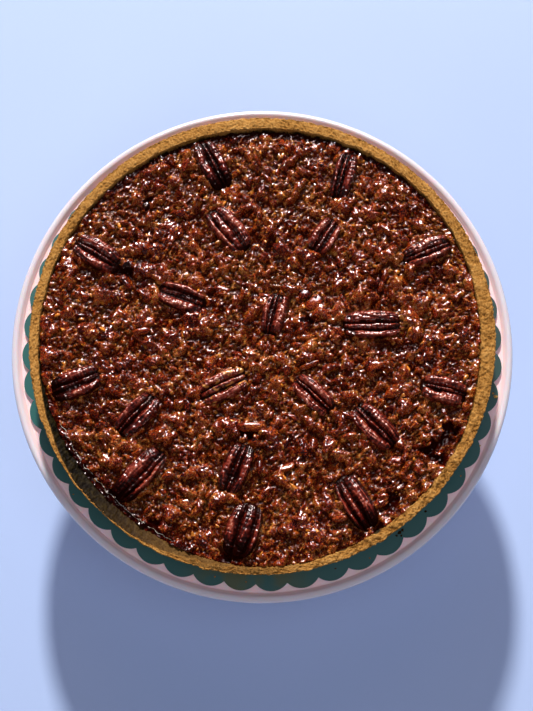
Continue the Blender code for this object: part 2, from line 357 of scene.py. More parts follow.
# %% Stand outline
FLAT_RADIUS = PLATE_RADIUS - 5 * MM
PLATE_THICKNESS = 5 * MM
UNDER_PLATE = PLATE_TOP - 1.5 * PLATE_THICKNESS
WAIST_HEIGHT = 56 * MM
STEM_RADIUS = 17 * MM
SHOULDER_RADIUS = 46 * MM
FOOT_RADIUS = 66 * MM
FOOT_EDGE = 4 * MM
FOOT_RING = 8.5 * MM
FOOT_RECESS = 2.5 * MM


def arc(middle, radii, start, end, count):
    """Points on part of an ellipse, as (radius, height)."""
    turns = [math.radians(start + (end - start) * step / (count - 1)) for step in range(count)]
    return [(middle[0] + radii[0] * math.cos(turn), middle[1] + radii[1] * math.sin(turn)) for turn in turns]


def stem_flare(start, end, wide_radius, curl, count):
    wide_end = start if abs(start - WAIST_HEIGHT) > abs(end - WAIST_HEIGHT) else end
    heights = [start + (end - start) * step / (count - 1) for step in range(count)]
    aways = [abs(height - WAIST_HEIGHT) / abs(wide_end - WAIST_HEIGHT) for height in heights]
    return [(STEM_RADIUS + (wide_radius - STEM_RADIUS) * away ** curl, height)
            for away, height in zip(aways, heights)]


bead = (PLATE_RADIUS - 2.2 * MM, PLATE_TOP - 0.2 * MM)
bead_radii = (2.2 * MM, LIP_HEIGHT + 0.2 * MM)
stand_outline = (
    [(0, PLATE_TOP), (FLAT_RADIUS - 3 * MM, PLATE_TOP)]
    + arc((FLAT_RADIUS - 0.7 * MM, PLATE_TOP + 1.0 * MM), (1.0 * MM, 1.0 * MM), -90, -20, 6)
    + arc(bead, bead_radii, 150, 0, 12)
    + arc((PLATE_RADIUS - 2.6 * MM, PLATE_TOP - 1.8 * MM), (2.6 * MM, 3.0 * MM), 0, -75, 9)
    + [(0.8 * PLATE_RADIUS, PLATE_TOP - 1.1 * PLATE_THICKNESS), (0.55 * PLATE_RADIUS, PLATE_TOP - 1.35 * PLATE_THICKNESS)]
    + stem_flare(UNDER_PLATE, WAIST_HEIGHT, SHOULDER_RADIUS, 3, 14)
    + stem_flare(WAIST_HEIGHT, FOOT_EDGE, FOOT_RADIUS - 1 * MM, 2.2, 18)[1:]
    + arc((FOOT_RADIUS - 1.6 * MM, FOOT_EDGE / 2), (1.6 * MM, FOOT_EDGE / 2), 60, -90, 8)
    + [(FOOT_RADIUS - FOOT_RING, 0), (FOOT_RADIUS - FOOT_RING - 2.5 * MM, FOOT_RECESS), (0, FOOT_RECESS)]
)
print("stand outline:", len(stand_outline), "points")

# %% Stand
def turned_piece(name, outline, steps):
    outline_mesh = bpy.data.meshes.new(name)
    edges = [(index, index + 1) for index in range(len(outline) - 1)]
    outline_mesh.from_pydata([(radius, 0, height) for radius, height in outline], edges, [])
    blank = bpy.data.objects.new(name + " outline", outline_mesh)
    bpy.context.scene.collection.objects.link(blank)
    screw = blank.modifiers.new("turn", "SCREW")
    screw.axis = "Z"
    screw.steps = steps
    screw.render_steps = steps
    screw.use_merge_vertices = True
    screw.merge_threshold = 0.00001
    mesh = evaluated_mesh(blank)
    bpy.data.objects.remove(blank)
    mesh.shade_smooth()
    mesh.set_sharp_from_angle(angle=math.radians(50))
    return mesh


def paint_glass(tree, where):
    cloud = tree.noise(where, 14.0, 3.0)
    parts = tree.node("ShaderNodeSeparateXYZ", None, {"Vector": where})
    across = tree.value("ShaderNodeMath", {"operation": "POWER"}, {0: parts.outputs["X"], 1: 2.0})
    along = tree.value("ShaderNodeMath", {"operation": "POWER"}, {0: parts.outputs["Y"], 1: 2.0})
    radius = (across + along) ** 0.5
    lip = radius.step(PLATE_RADIUS - 5.2 * MM, PLATE_RADIUS - 2.5 * MM)
    flat = tree.mix(cloud, (0.80, 0.56, 0.58), (0.86, 0.62, 0.63))
    ripple = tree.bump(tree.noise(where, 60.0, 1.0), 0.00015, 0.3)
    return {"Base Color": tree.mix(lip, flat, (0.58, 0.54, 0.60)), "Normal": ripple}


glass = new_material(
    "pink_milk_glass", paint_glass, roughness=0.12, subsurface_weight=0.25,
    subsurface_scale=0.004, coat_weight=0.6, coat_roughness=0.04)
stand_mesh = turned_piece("stand", stand_outline, 256)
add_piece("stand", stand_mesh, glass, "pink_glass", "cake_stand")

# %% [markdown]
# ## The scalloped board
#
# Food card cut to a ring of equal scallops: teal foil on top, and a thin dark edge where
# the knife went through. The same arc repeats all round, so Geometry Nodes draw it. A
# circle of points is pushed in and out by one formula, filled, and given its thickness.
# The formula is the distance from the middle of the board to one scallop's arc.

# %% Geometry node helpers
def new_geometry_tree(name, inputs):
    """A modifier tree with named inputs, and a Tree to write it with."""
    group = bpy.data.node_groups.new(name, "GeometryNodeTree")
    group.interface.new_socket("Geometry", in_out="INPUT", socket_type="NodeSocketGeometry")
    for socket_name, kind in inputs:
        group.interface.new_socket(socket_name, in_out="INPUT", socket_type="NodeSocket" + kind)
    group.interface.new_socket("Geometry", in_out="OUTPUT", socket_type="NodeSocketGeometry")
    tree = Tree(group.nodes, group.links)
    entry = group.nodes.new("NodeGroupInput")
    return group, tree, entry


def close_tree(group, tree, geometry, entry):
    """Ends the tree in real geometry with one material."""
    solid = tree.node("GeometryNodeRealizeInstances", None, {"Geometry": geometry})
    dressed = tree.node("GeometryNodeSetMaterial", None,
                        {"Geometry": solid.outputs[0], "Material": entry.outputs["Material"]})
    exit_node = group.nodes.new("NodeGroupOutput")
    group.links.new(dressed.outputs[0], exit_node.inputs[0])


def grown_mesh(name, base_mesh, group, settings):
    """Runs a tree on a mesh and keeps the result as a plain mesh."""
    holder = bpy.data.objects.new(name + " base", base_mesh)
    bpy.context.scene.collection.objects.link(holder)
    modifier = holder.modifiers.new("grow", "NODES")
    modifier.node_group = group
    sockets = {item.name: item.identifier for item in group.interface.items_tree if item.in_out == "INPUT"}
    for socket_name, given in settings.items():
        modifier[sockets[socket_name]] = given
    mesh = evaluated_mesh(holder)
    holder.modifiers.remove(modifier)
    bpy.data.objects.remove(holder)
    mesh.name = name
    return mesh


# %% Board
SCALLOPS = 48
SCALLOP_DEPTH = 3.6 * MM
SCALLOP_TURN = math.radians(6)
POINTS_A_SCALLOP = 16
half_pitch = math.pi / SCALLOPS
notch_radius = BOARD_RADIUS - SCALLOP_DEPTH
half_chord = notch_radius * math.sin(half_pitch)
scallop_rise = BOARD_RADIUS - notch_radius * math.cos(half_pitch)
scallop_radius = (half_chord ** 2 + scallop_rise ** 2) / (2 * scallop_rise)
scallop_centre = BOARD_RADIUS - scallop_radius

board_tree, tree, entry = new_geometry_tree("scalloped card", [
    ("Arc radius", "Float"), ("Arc centre", "Float"), ("Bottom", "Float"),
    ("Thickness", "Float"), ("Material", "Material")])
ring = tree.node("GeometryNodeCurvePrimitiveCircle", None,
                 {"Resolution": SCALLOPS * POINTS_A_SCALLOP, "Radius": 1.0})
index = tree.value("GeometryNodeInputIndex")
turn = index * (math.tau / (SCALLOPS * POINTS_A_SCALLOP))
within = tree.value("ShaderNodeMath", {"operation": "MODULO"}, {0: turn, 1: 2 * half_pitch}) - half_pitch
arc_radius = Value(tree, entry.outputs["Arc radius"])
arc_centre = Value(tree, entry.outputs["Arc centre"])
sine = tree.value("ShaderNodeMath", {"operation": "SINE"}, {0: within})
cosine = tree.value("ShaderNodeMath", {"operation": "COSINE"}, {0: within})
reach = arc_centre * cosine + (arc_radius ** 2 - (arc_centre * sine) ** 2) ** 0.5
heading = turn + SCALLOP_TURN
place = tree.node("ShaderNodeCombineXYZ", None, {
    "X": reach * tree.value("ShaderNodeMath", {"operation": "COSINE"}, {0: heading}),
    "Y": reach * tree.value("ShaderNodeMath", {"operation": "SINE"}, {0: heading})})
outline = tree.node("GeometryNodeSetPosition", None,
                    {"Geometry": ring.outputs["Curve"], "Position": place.outputs[0]})
face = tree.node("GeometryNodeFillCurve", {"mode": "NGONS"}, {"Curve": outline.outputs[0]})
raised = tree.node("GeometryNodeExtrudeMesh", None, {
    "Mesh": face.outputs[0], "Offset": tree.node("ShaderNodeCombineXYZ", None, {"Z": 1.0}).outputs[0],
    "Offset Scale": entry.outputs["Thickness"], "Individual": False})
underside = tree.node("GeometryNodeFlipFaces", None, {"Mesh": face.outputs[0]})
both = tree.node("GeometryNodeJoinGeometry")
tree.links.new(raised.outputs[0], both.inputs[0])
tree.links.new(underside.outputs[0], both.inputs[0])
card = tree.node("GeometryNodeMergeByDistance", None, {"Geometry": both.outputs[0], "Distance": 0.00001})
lift = tree.node("ShaderNodeCombineXYZ", None, {"Z": entry.outputs["Bottom"]})
lying = tree.node("GeometryNodeSetPosition", None, {"Geometry": card.outputs[0], "Offset": lift.outputs[0]})
close_tree(board_tree, tree, lying.outputs[0], entry)


def paint_card(tree, where):
    parts = tree.node("ShaderNodeSeparateXYZ", None, {"Vector": where})
    height = Value(tree, parts.outputs["Z"])
    cut_edge = 1 - height.step(board_high.z - 0.25 * MM, board_high.z - 0.1 * MM)
    fibre = tree.noise(where, 900.0, 2.0)
    foil = tree.mix(tree.noise(where, 22.0, 3.0), (0.012, 0.088, 0.086), (0.020, 0.106, 0.102))
    # Painted shade: the foil is darker and greyer on the lit right-hand side of the board.
    painted_shade_patch = Value(tree, parts.outputs["X"]).step(96 * MM, 114 * MM) * Value(tree, parts.outputs["Y"]).step(-40 * MM, -10 * MM)
    foil = tree.mix(painted_shade_patch * 0.8, foil, (0.020, 0.040, 0.036))
    # Painted reflection: a golden-olive patch on the front of the board, just below the crust.
    golden = Value(tree, parts.outputs["X"]).step(-44 * MM, -18 * MM) * (1 - Value(tree, parts.outputs["X"]).step(4 * MM, 34 * MM))
    golden = golden * (1 - Value(tree, parts.outputs["Y"]).step(-118 * MM, -100 * MM)) * tree.noise(where, 90.0, 2.0).step(0.30, 0.62)
    foil = tree.mix(golden * 0.75, foil, (0.085, 0.090, 0.026))
    edge = tree.mix(fibre, (0.030, 0.014, 0.008), (0.060, 0.030, 0.018))
    grain = tree.bump(tree.noise(where, 420.0, 2.0), 0.00003, 0.5)
    return {"Base Color": tree.mix(cut_edge, foil, edge), "Roughness": 0.34 + cut_edge * 0.5,
            "Normal": grain}


foil_card = new_material("teal_foil_card", paint_card, specular_ior_level=0.6)
seed_mesh = bpy.data.meshes.new("card seed")
board_mesh = grown_mesh("board", seed_mesh, board_tree, {
    "Arc radius": scallop_radius, "Arc centre": scallop_centre, "Bottom": board_low.z,
    "Thickness": board_high.z - board_low.z, "Material": foil_card})
board_mesh.shade_smooth()
board_mesh.set_sharp_from_angle(angle=math.radians(35))
add_piece("board", board_mesh, None, "teal_card", "cake_board")

# %% [markdown]
# ## The crust
#
# A biscuit shell: smooth outside where the tin held it, with a flat rim where it was
# trimmed. Its rim is widest at the right, and at the lower left it is thin and the bare
# wall shows, dark with syrup. The surface is sandy: domed grains about a millimetre
# across, with pits where grains fell out. The shell is a ring of cross-sections, and
# every point is moved by a cell pattern, so that the grains are real relief.

# %% Crust forms
RIM_WIDTH = 5 * MM
WALL_LEAN = 0.6 * MM
BARE_WALL = 5 * MM
RIM_DROP = 2 * MM
BARE_DROP = 2.6 * MM
FAR_DROP = 1 * MM
CRUST_FOOT_RADIUS = 117 * MM
CAVITY_FOOT_RADIUS = 104 * MM
CAVITY_FLOOR = CRUST_BOTTOM + 4 * MM
BULGE_SIDE, FLAT_SIDE, THICK_SIDE, FAR_SIDE, THIN_SIDE, FRONT_SIDE = np.radians((20, 312, 2, 100, 226, 270))


def swell(angle, middle, spread_degrees):
    """1 at the middle angle, falling to 0 on both sides over the spread."""
    away = np.degrees((angle - middle + math.pi) % math.tau - math.pi)
    return np.exp(-((away / spread_degrees) ** 2))


def crust_radius(angle):
    """Outside of the rim: the ring isn't quite round."""
    dents = 0.9 * swell(angle, BULGE_SIDE, 32) - 1.1 * swell(angle, FLAT_SIDE, 32)
    return CRUST_RADIUS + (0.5 * np.sin(angle) + dents) * MM


def rim_width(angle):
    wider = 3 * swell(angle, THICK_SIDE, 28) + 1.4 * swell(angle, FAR_SIDE, 50)
    narrower = 3.6 * swell(angle, THIN_SIDE, 24) + 1.4 * swell(angle, FRONT_SIDE, 22)
    return RIM_WIDTH + (wider - narrower) * MM


def wall_radius(angle):
    """Inside of the crust's wall, level with the filling."""
    return crust_radius(angle) - rim_width(angle) - WALL_LEAN - BARE_WALL * swell(angle, THIN_SIDE, 26)


def filling_drop(angle):
    """How far the filling's edge lies below the rim."""
    return RIM_DROP + BARE_DROP * swell(angle, THIN_SIDE, 28) + FAR_DROP * swell(angle, FAR_SIDE, 55)


def crumble(place, grain):
    """Height of a sandy surface, from about -1 to 1: domed grains with a few lost ones."""
    near, far = noise.voronoi(place / grain)[0][:2]
    dome = 1 - 2.2 * near
    lump = noise.noise(place / (3.2 * grain))
    pit = noise.noise(place / (1.1 * grain) + Vector((7.1, 3.3, 9.7)))
    return 0.9 * dome + 0.6 * lump - 1.8 * max(0.0, pit - 0.30)


def crack(place, clump):
    """1 in the gaps between clumps of dough, 0 on them."""
    bent = place + noise.noise_vector(place / (0.5 * clump)) * 0.30 * clump
    near, far = noise.voronoi(bent / clump)[0][:2]
    open_here = max(0.0, noise.noise(place / (1.3 * clump) + Vector((1.7, 8.3, 2.9))) + 0.15)
    return math.exp(-(((far - near) / 0.09) ** 2)) * min(1.0, 2.5 * open_here)


# %% Crust mesh
RING_STEPS = 1500
angles = np.arange(RING_STEPS) * math.tau / RING_STEPS
outside = crust_radius(angles)
rim = rim_width(angles)
wall = wall_radius(angles)
drop = filling_drop(angles)
one = np.ones(RING_STEPS)


def between(start, end, count):
    return [start + (end - start) * step / count for step in range(1, count + 1)]


ragged = np.array([noise.noise(Vector((math.cos(angle), math.sin(angle), 0.3)) * 22) for angle in angles])
torn = 0.5 + 2.0 * swell(angles, math.radians(285), 40)
rim_inner = outside - rim - ragged * torn * MM
knee = (wall, RIM_TOP - drop)
sunk = (wall - 1.5 * MM, RIM_TOP - drop - 4 * MM)
lip_in = (rim_inner, RIM_TOP - 0.5 * MM * one)
crust_rows = [(CAVITY_FOOT_RADIUS * one, CAVITY_FLOOR * one), sunk]
for start, end, count in ((sunk, knee, 3), (knee, lip_in, 8)):
    crust_rows += list(zip(between(start[0], end[0], count), between(start[1], end[1], count)))
for share in np.linspace(0.04, 0.93, 14):
    crown = 0.45 * MM * (1 - abs(2 * share - 1) ** 4)
    crust_rows.append((rim_inner + share * rim, (RIM_TOP - 0.55 * MM + crown) * one))
outer_start = len(crust_rows)
for turn in (70, 40, 10):
    bend = math.radians(turn)
    crust_rows.append((outside - 0.8 * MM + 0.8 * MM * math.cos(bend),
                       (RIM_TOP - 1.1 * MM + 0.8 * MM * math.sin(bend)) * one))
top = (outside, (RIM_TOP - 1.3 * MM) * one)
bottom = (CRUST_FOOT_RADIUS * one, (CRUST_BOTTOM + 1 * MM) * one)
crust_rows += list(zip(between(top[0], bottom[0], 24), between(top[1], bottom[1], 24)))
crust_rows.append(((CRUST_FOOT_RADIUS - 1 * MM) * one, CRUST_BOTTOM * one))
radii = np.array([row[0] for row in crust_rows])
heights = np.array([row[1] for row in crust_rows])
rows = np.stack([radii * np.cos(angles), radii * np.sin(angles), heights], axis=2)

# %% Crust relief
out_step = np.gradient(radii, axis=0)
up_step = np.gradient(heights, axis=0)
slope = np.hypot(out_step, up_step)
push_out, push_up = up_step / slope, -out_step / slope
RELIEF = 0.5 * MM
clumpy = 0.10 + 0.45 * swell(angles, math.radians(8), 34) + 0.80 * swell(angles, math.radians(300), 34)
grains = np.zeros(radii.shape)
for row in range(2, len(crust_rows) - 1):
    for spot in range(RING_STEPS):
        place = Vector(rows[row, spot])
        clump = crumble(place, 2.6 * MM) - 1.2 * crack(place, 3.4 * MM)
        grains[row, spot] = crumble(place, 0.9 * MM) + clumpy[spot] * clump
smooth_side = np.clip((RIM_TOP - 1.5 * MM - heights) / (3 * MM), 0, 1) * (radii > 116 * MM)
push = np.clip(grains, -2.2, 0.75) * RELIEF * (1 - 0.6 * smooth_side) - 0.28 * MM
push[:2] = 0
push[-1] = 0
radii = radii - push * push_out
heights = np.minimum(heights - push * push_up, RIM_TOP)
rows = np.stack([radii * np.cos(angles), radii * np.sin(angles), heights], axis=2)
crust_mesh = skin_mesh("crust", rows)
stain_reach = 0.1 * MM + 1.2 * MM * swell(angles, THIN_SIDE, 26)
inside = np.clip((rim_inner + stain_reach - radii) / (0.5 * MM), 0, 1)
inside = inside * (1 - 0.35 * swell(angles, math.radians(262), 22))
olive = 0.85 * swell(angles, math.radians(262), 18) * (heights > RIM_TOP - 1.5 * MM)
inside = np.maximum(inside, olive * np.clip(0.8 + 0.6 * grains, 0, 1)) * (heights > CRUST_BOTTOM + 2 * MM)
inside[outer_start:] = 0
note_on_points(crust_mesh, "grain", np.append(grains.ravel(), (0, 0)))
note_on_points(crust_mesh, "stain", np.append(inside.ravel(), (0, 0)))


def paint_biscuit(tree, where):
    grain = tree.attribute("grain")
    stained = tree.attribute("stain")
    bake = tree.noise(where, 38.0, 4.0, 0.6)
    sand = tree.noise(where, 1100.0, 2.0)
    # The grain term paints light and shade on the relief: grain tops lighter, pits and cracks darker.
    tone = (grain * 0.17 + bake * 0.45 + sand * 0.60 - 0.03).clamped()
    crumb = tree.ramp(tone, [
        (0.05, (0.040, 0.011, 0.002)), (0.25, (0.150, 0.060, 0.010)), (0.46, (0.320, 0.150, 0.034)),
        (0.68, (0.440, 0.230, 0.066)), (0.95, (0.640, 0.400, 0.160))])
    soaked = (tree.noise(where, 420.0, 3.0) + grain * 0.25).step(0.25, 0.95)
    syrup = tree.mix(soaked, (0.0010, 0.0007, 0.0002), (0.022, 0.015, 0.0032))
    fine = tree.bump(tree.noise(where, 1500.0, 3.0, 0.7), 0.0004, 0.7)
    return {"Base Color": tree.mix(stained, crumb, syrup), "Roughness": 0.88 - stained * 0.35,
            "Normal": fine}


biscuit = new_material("golden_biscuit", paint_biscuit, specular_ior_level=0.05)
add_piece("biscuit_crust", crust_mesh, biscuit, "biscuit", "crust")

# %% [markdown]
# ## The filling
#
# Finely chopped nuts, baked in dark syrup. Seen close it is a bed of overlapping chips:
# some with red-brown skin, some of amber syrup, some of pale meal, and hollows between
# them, which painted shade darkens. The bed is worked out on a flat raster, as a painter
# would lay leaves: each chip is a small tilted dome, and where chips overlap the highest
# one shows. The raster then gives every point of a fine disc its height, its colour and
# its wetness.
# The disc is a square grid rounded out to a circle, so its cells stay nearly equal.

# %% Pecan places from the frame
def pecan_frame(node):
    """The middle, the axes and the size of a pecan half, read from its solid."""
    corners = np.array([vertex.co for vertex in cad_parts[node].data.vertices])
    corners = np.unique(np.round(corners, 7), axis=0)
    middle = corners.mean(axis=0)
    spread, axes = np.linalg.eigh(np.cov((corners - middle).T))
    along, across = axes[:, 2] * np.sign(axes[0, 2]), axes[:, 1]
    up = np.cross(along, across)
    if up[2] < 0:
        across, up = -across, -up
    reach = (corners - middle) @ np.stack([along, across, up], axis=1)
    low, high = reach.min(axis=0), reach.max(axis=0)
    centre = middle + along * (low[0] + high[0]) / 2 + across * (low[1] + high[1]) / 2 + up * low[2]
    return {"centre": centre, "axes": (along, across, up), "size": high - low}


pecan_names = sorted(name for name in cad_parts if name.startswith("pecan_"))
pecans = [pecan_frame(name) for name in pecan_names]
print("pecans:", len(pecans), "longest", round(max(nut["size"][0] for nut in pecans) / MM, 1), "mm")

# %% The bed of chips, on a raster
RASTER_STEP = 0.36 * MM
HALF_RASTER = 116 * MM
raster_size = int(2 * HALF_RASTER / RASTER_STEP)
draw = np.random.RandomState(7)


def new_layer(level):
    """A raster of chips: its height, and the tint of the chip on top."""
    height = np.full((raster_size, raster_size), level)
    return {"height": height, "tint": np.full(height.shape, 0.3)}


def lay_chips(layer, count, smallest, largest, rise, tints, steepness=0.28):
    """Lays chips at random; tints are (share of the chips, lowest tint, highest tint)."""
    bed, tint = layer["height"], layer["tint"]
    shares = np.cumsum([share for share, low, high in tints])
    for chip in range(count):
        x, y = draw.uniform(-HALF_RASTER, HALF_RASTER, 2)
        half = smallest + (largest - smallest) * draw.uniform() ** 2.2
        aspect, turn = draw.uniform(0.38, 0.95), draw.uniform(0, math.tau)
        lean_x, lean_y = draw.normal(0, steepness, 2)
        wave_1, wave_2 = draw.uniform(0, math.tau, 2)
        base = draw.normal(0, 0.35) * rise
        kind = int(np.searchsorted(shares, draw.uniform() * shares[-1]))
        shade = draw.uniform(tints[kind][1], tints[kind][2])
        column = int((x - half + HALF_RASTER) / RASTER_STEP)
        row = int((y - half + HALF_RASTER) / RASTER_STEP)
        span = int(2 * half / RASTER_STEP) + 2
        if column < 0 or row < 0:
            continue
        columns = np.arange(column, min(column + span, raster_size))
        lines = np.arange(row, min(row + span, raster_size))
        if len(columns) == 0 or len(lines) == 0:
            continue
        grid_x, grid_y = np.meshgrid(columns * RASTER_STEP - HALF_RASTER - x, lines * RASTER_STEP - HALF_RASTER - y)
        u = (grid_x * math.cos(turn) + grid_y * math.sin(turn)) / half
        v = (-grid_x * math.sin(turn) + grid_y * math.cos(turn)) / (half * aspect)
        heading = np.arctan2(v, u)
        ragged = 1 + 0.18 * np.sin(3 * heading + wave_1) + 0.12 * np.sin(5 * heading + wave_2)
        outward = (u ** 2 + v ** 2) ** 1.2 * ragged ** 2.4
        height = base + rise * (1 - outward) + lean_x * grid_x + lean_y * grid_y
        patch = np.ix_(lines, columns)
        higher = (outward < 1) & (height > bed[patch])
        bed[patch] = np.where(higher, height, bed[patch])
        tint[patch] = np.where(higher, shade, tint[patch])


# Pits in the surface, painted near black inside as shade: x, y and radius in millimetres.
PITS = [(-60, 73, 2.6), (94, -48, 4.2), (85, -56, 3.2), (89, -61, 2.8), (65.5, -82, 3.6), (-54, -95, 3.0),
        (61, -99, 4.8), (-73, -81, 4.0), (-15, -109, 3.6), (-71.5, 36.5, 3.6), (23, 10, 2.2), (-8, -48.5, 2.8)]


def bell_at(x, y, radius):
    """A soft ragged spot on the raster, 1 at its middle."""
    places = (np.arange(raster_size) * RASTER_STEP - HALF_RASTER) / MM
    right, up = places[None, :] - x, places[:, None] - y
    heading = np.arctan2(up, right) + x
    ragged = 1 + 0.35 * np.sin(2 * heading) + 0.25 * np.sin(3 * heading + y) + 0.18 * np.sin(7 * heading)
    return np.exp(-((right ** 2 + up ** 2) / (radius * ragged) ** 2) ** 2)


SYRUP, SKIN, MEAL, PALE, AMBER = (0.02, 0.22), (0.22, 0.42), (0.42, 0.62), (0.60, 0.76), (0.82, 1.0)
clumps, fine = new_layer(-0.8 * MM), new_layer(-0.5 * MM)
lay_chips(clumps, 1300, 1.8 * MM, 5.0 * MM, 2.2 * MM, [(0.55, *SYRUP), (0.45, *SKIN)], 0.2)
lay_chips(fine, 36000, 0.45 * MM, 1.1 * MM, 0.5 * MM, [(0.5, *MEAL), (0.15, *SYRUP), (0.22, *SKIN), (0.13, *PALE)], 0.4)
lay_chips(fine, 9000, 0.7 * MM, 1.9 * MM, 0.7 * MM, [(0.4, *MEAL), (0.40, *SKIN), (0.15, *SYRUP), (0.05, *AMBER)], 0.35)
wet = np.clip(clumps["height"] / MM + 0.5, 0, 1)
bed = clumps["height"] + fine["height"]
clump_share = 0.55 * wet
tint = fine["tint"] * (1 - clump_share) + clumps["tint"] * clump_share
# Each pit is sunk into the bed, and its tint is lowered to near black as painted shade.
for x, y, radius in PITS:
    dip = bell_at(x, y, radius)
    bed -= 2.8 * MM * dip
    tint -= 1.6 * dip
raster_places = np.arange(raster_size) * RASTER_STEP - HALF_RASTER
raster_angle = np.arctan2(raster_places[:, None], raster_places[None, :])
to_wall = wall_radius(raster_angle) - np.hypot(raster_places[:, None], raster_places[None, :])
# The filling is darker and less glossy next to the wall: along the bare wall at the thin side, and in a band of painted
# shadow under the far rim.
soaked = swell(raster_angle, THIN_SIDE, 24) * np.clip((3.4 * MM - to_wall) / (1.2 * MM), 0, 1)
shaded = np.minimum(1, 1.3 * swell(raster_angle, math.radians(88), 38)) * np.clip((3.2 * MM - to_wall) / (1.4 * MM), 0, 1)
soaked = np.maximum(soaked, shaded)
tint -= 0.9 * soaked
wet = wet * (1 - soaked)
print("bed height in mm:", round(bed.min() / MM, 2), "to", round(bed.max() / MM, 2))

# %% The disc of the filling
CELLS = 300
TUCK_IN = 0.4 * MM
LUMP_SIZE = 11 * MM
LUMP_HEIGHT = 1.9 * MM
FAR_DIP = 1 * MM


def bilinear(image, x, y):
    column = np.clip((x + HALF_RASTER) / RASTER_STEP, 0, raster_size - 1.001)
    line = np.clip((y + HALF_RASTER) / RASTER_STEP, 0, raster_size - 1.001)
    left, low = column.astype(int), line.astype(int)
    right_share, up_share = column - left, line - low
    lower = image[low, left] * (1 - right_share) + image[low, left + 1] * right_share
    upper = image[low + 1, left] * (1 - right_share) + image[low + 1, left + 1] * right_share
    return lower * (1 - up_share) + upper * up_share


def filling_level(x, y):
    """Height of the filling's surface before its lumps and chips."""
    angle = np.arctan2(y, x)
    outward = np.minimum(1.02, np.hypot(x, y) / wall_radius(angle))
    return RIM_TOP - RIM_DROP - (filling_drop(angle) - RIM_DROP) * outward ** 6


side = np.linspace(-1, 1, CELLS + 1)
across, along = np.meshgrid(side, side)
disc_x = across * np.sqrt(1 - along ** 2 / 2)
disc_y = along * np.sqrt(1 - across ** 2 / 2)
disc_angle = np.arctan2(disc_y, disc_x)
reach = wall_radius(disc_angle) + TUCK_IN
fill_x, fill_y = (disc_x * reach).ravel(), (disc_y * reach).ravel()
outward = np.hypot(disc_x, disc_y).ravel()
waves = np.array([noise.noise(Vector((x, y, 0)) / LUMP_SIZE) for x, y in zip(fill_x, fill_y)])
fill_z = filling_level(fill_x, fill_y) + LUMP_HEIGHT * waves * (1 - outward ** 8)
fill_z += bilinear(bed, fill_x, fill_y) * (1 - 0.5 * outward ** 16)
fill_z -= FAR_DIP * swell(disc_angle.ravel(), math.radians(85), 60) * outward ** 14
column = np.clip(((fill_x + HALF_RASTER) / RASTER_STEP).round().astype(int), 0, raster_size - 1)
line = np.clip(((fill_y + HALF_RASTER) / RASTER_STEP).round().astype(int), 0, raster_size - 1)

cell = np.arange(CELLS)
corner = (cell[:, None] * (CELLS + 1) + cell[None, :]).ravel()
quads = np.stack([corner, corner + 1, corner + CELLS + 2, corner + CELLS + 1], axis=1)
filling_mesh = bpy.data.meshes.new("filling")
filling_mesh.from_pydata(np.stack([fill_x, fill_y, fill_z], axis=1).tolist(), [], quads.tolist())
note_on_points(filling_mesh, "tint", tint[line, column])
note_on_points(filling_mesh, "wet", wet[line, column])
note_on_points(filling_mesh, "rise", (bilinear(bed, fill_x, fill_y) / MM))


def inside_pecans(x, y, margin):
    """1 where a point lies under a pecan half, else 0."""
    covered = np.zeros(x.shape, dtype=bool)
    for nut in pecans:
        along_axis, across_axis, up_axis = nut["axes"]
        dx, dy = x - nut["centre"][0], y - nut["centre"][1]
        u = (dx * along_axis[0] + dy * along_axis[1]) / (nut["size"][0] / 2 + margin)
        v = (dx * across_axis[0] + dy * across_axis[1]) / (nut["size"][1] / 2 + margin)
        covered |= np.abs(u) ** 2.6 + np.abs(v) ** 2.6 < 1
    return covered


pressed = inside_pecans(fill_x, fill_y, -1.0 * MM)
fill_z = np.where(pressed, np.minimum(fill_z, filling_level(fill_x, fill_y) - 1.6 * MM), fill_z)
filling_mesh.vertices.foreach_set("co", np.stack([fill_x, fill_y, fill_z], axis=1).astype(np.float32).ravel())
collar = inside_pecans(fill_x, fill_y, 1.0 * MM) & ~inside_pecans(fill_x, fill_y, 0.1 * MM)
open_bed = ~inside_pecans(fill_x, fill_y, 0.3 * MM) & (outward < 0.985) & (tint[line, column] > 0.0)
note_on_points(filling_mesh, "collar", collar)
note_on_points(filling_mesh, "open", open_bed)
note_on_points(filling_mesh, "roomy", open_bed & ~inside_pecans(fill_x, fill_y, 2.0 * MM) & (outward < 0.97))
shape = bmesh.new()
shape.from_mesh(filling_mesh)
edge_loop = [edge for edge in shape.edges if edge.is_boundary]
grown = bmesh.ops.extrude_edge_only(shape, edges=edge_loop)["geom"]
for vertex in (item for item in grown if isinstance(item, bmesh.types.BMVert)):
    heading = math.atan2(vertex.co.y, vertex.co.x)
    vertex.co = (100 * MM * math.cos(heading), 100 * MM * math.sin(heading), CAVITY_FLOOR + 0.3 * MM)
bmesh.ops.contextual_create(shape, geom=[edge for edge in shape.edges if edge.is_boundary])
bmesh.ops.recalc_face_normals(shape, faces=shape.faces)
shape.to_mesh(filling_mesh)
shape.free()
filling_mesh.shade_smooth()


def nut_colours(tree, tint):
    """Syrup, skin, meal and amber, along one scale from 0 to 1."""
    return tree.ramp(tint, [
        (0.00, (0.010, 0.0002, 0.0000)), (0.15, (0.075, 0.0014, 0.0002)), (0.30, (0.225, 0.0125, 0.0008)),
        (0.42, (0.320, 0.0500, 0.0040)), (0.54, (0.275, 0.0950, 0.0120)), (0.66, (0.340, 0.1550, 0.0280)),
        (0.76, (0.500, 0.2500, 0.0700)), (0.84, (0.480, 0.0950, 0.0060)), (0.93, (0.560, 0.1400, 0.0080)),
        (1.00, (0.620, 0.2100, 0.0180))])


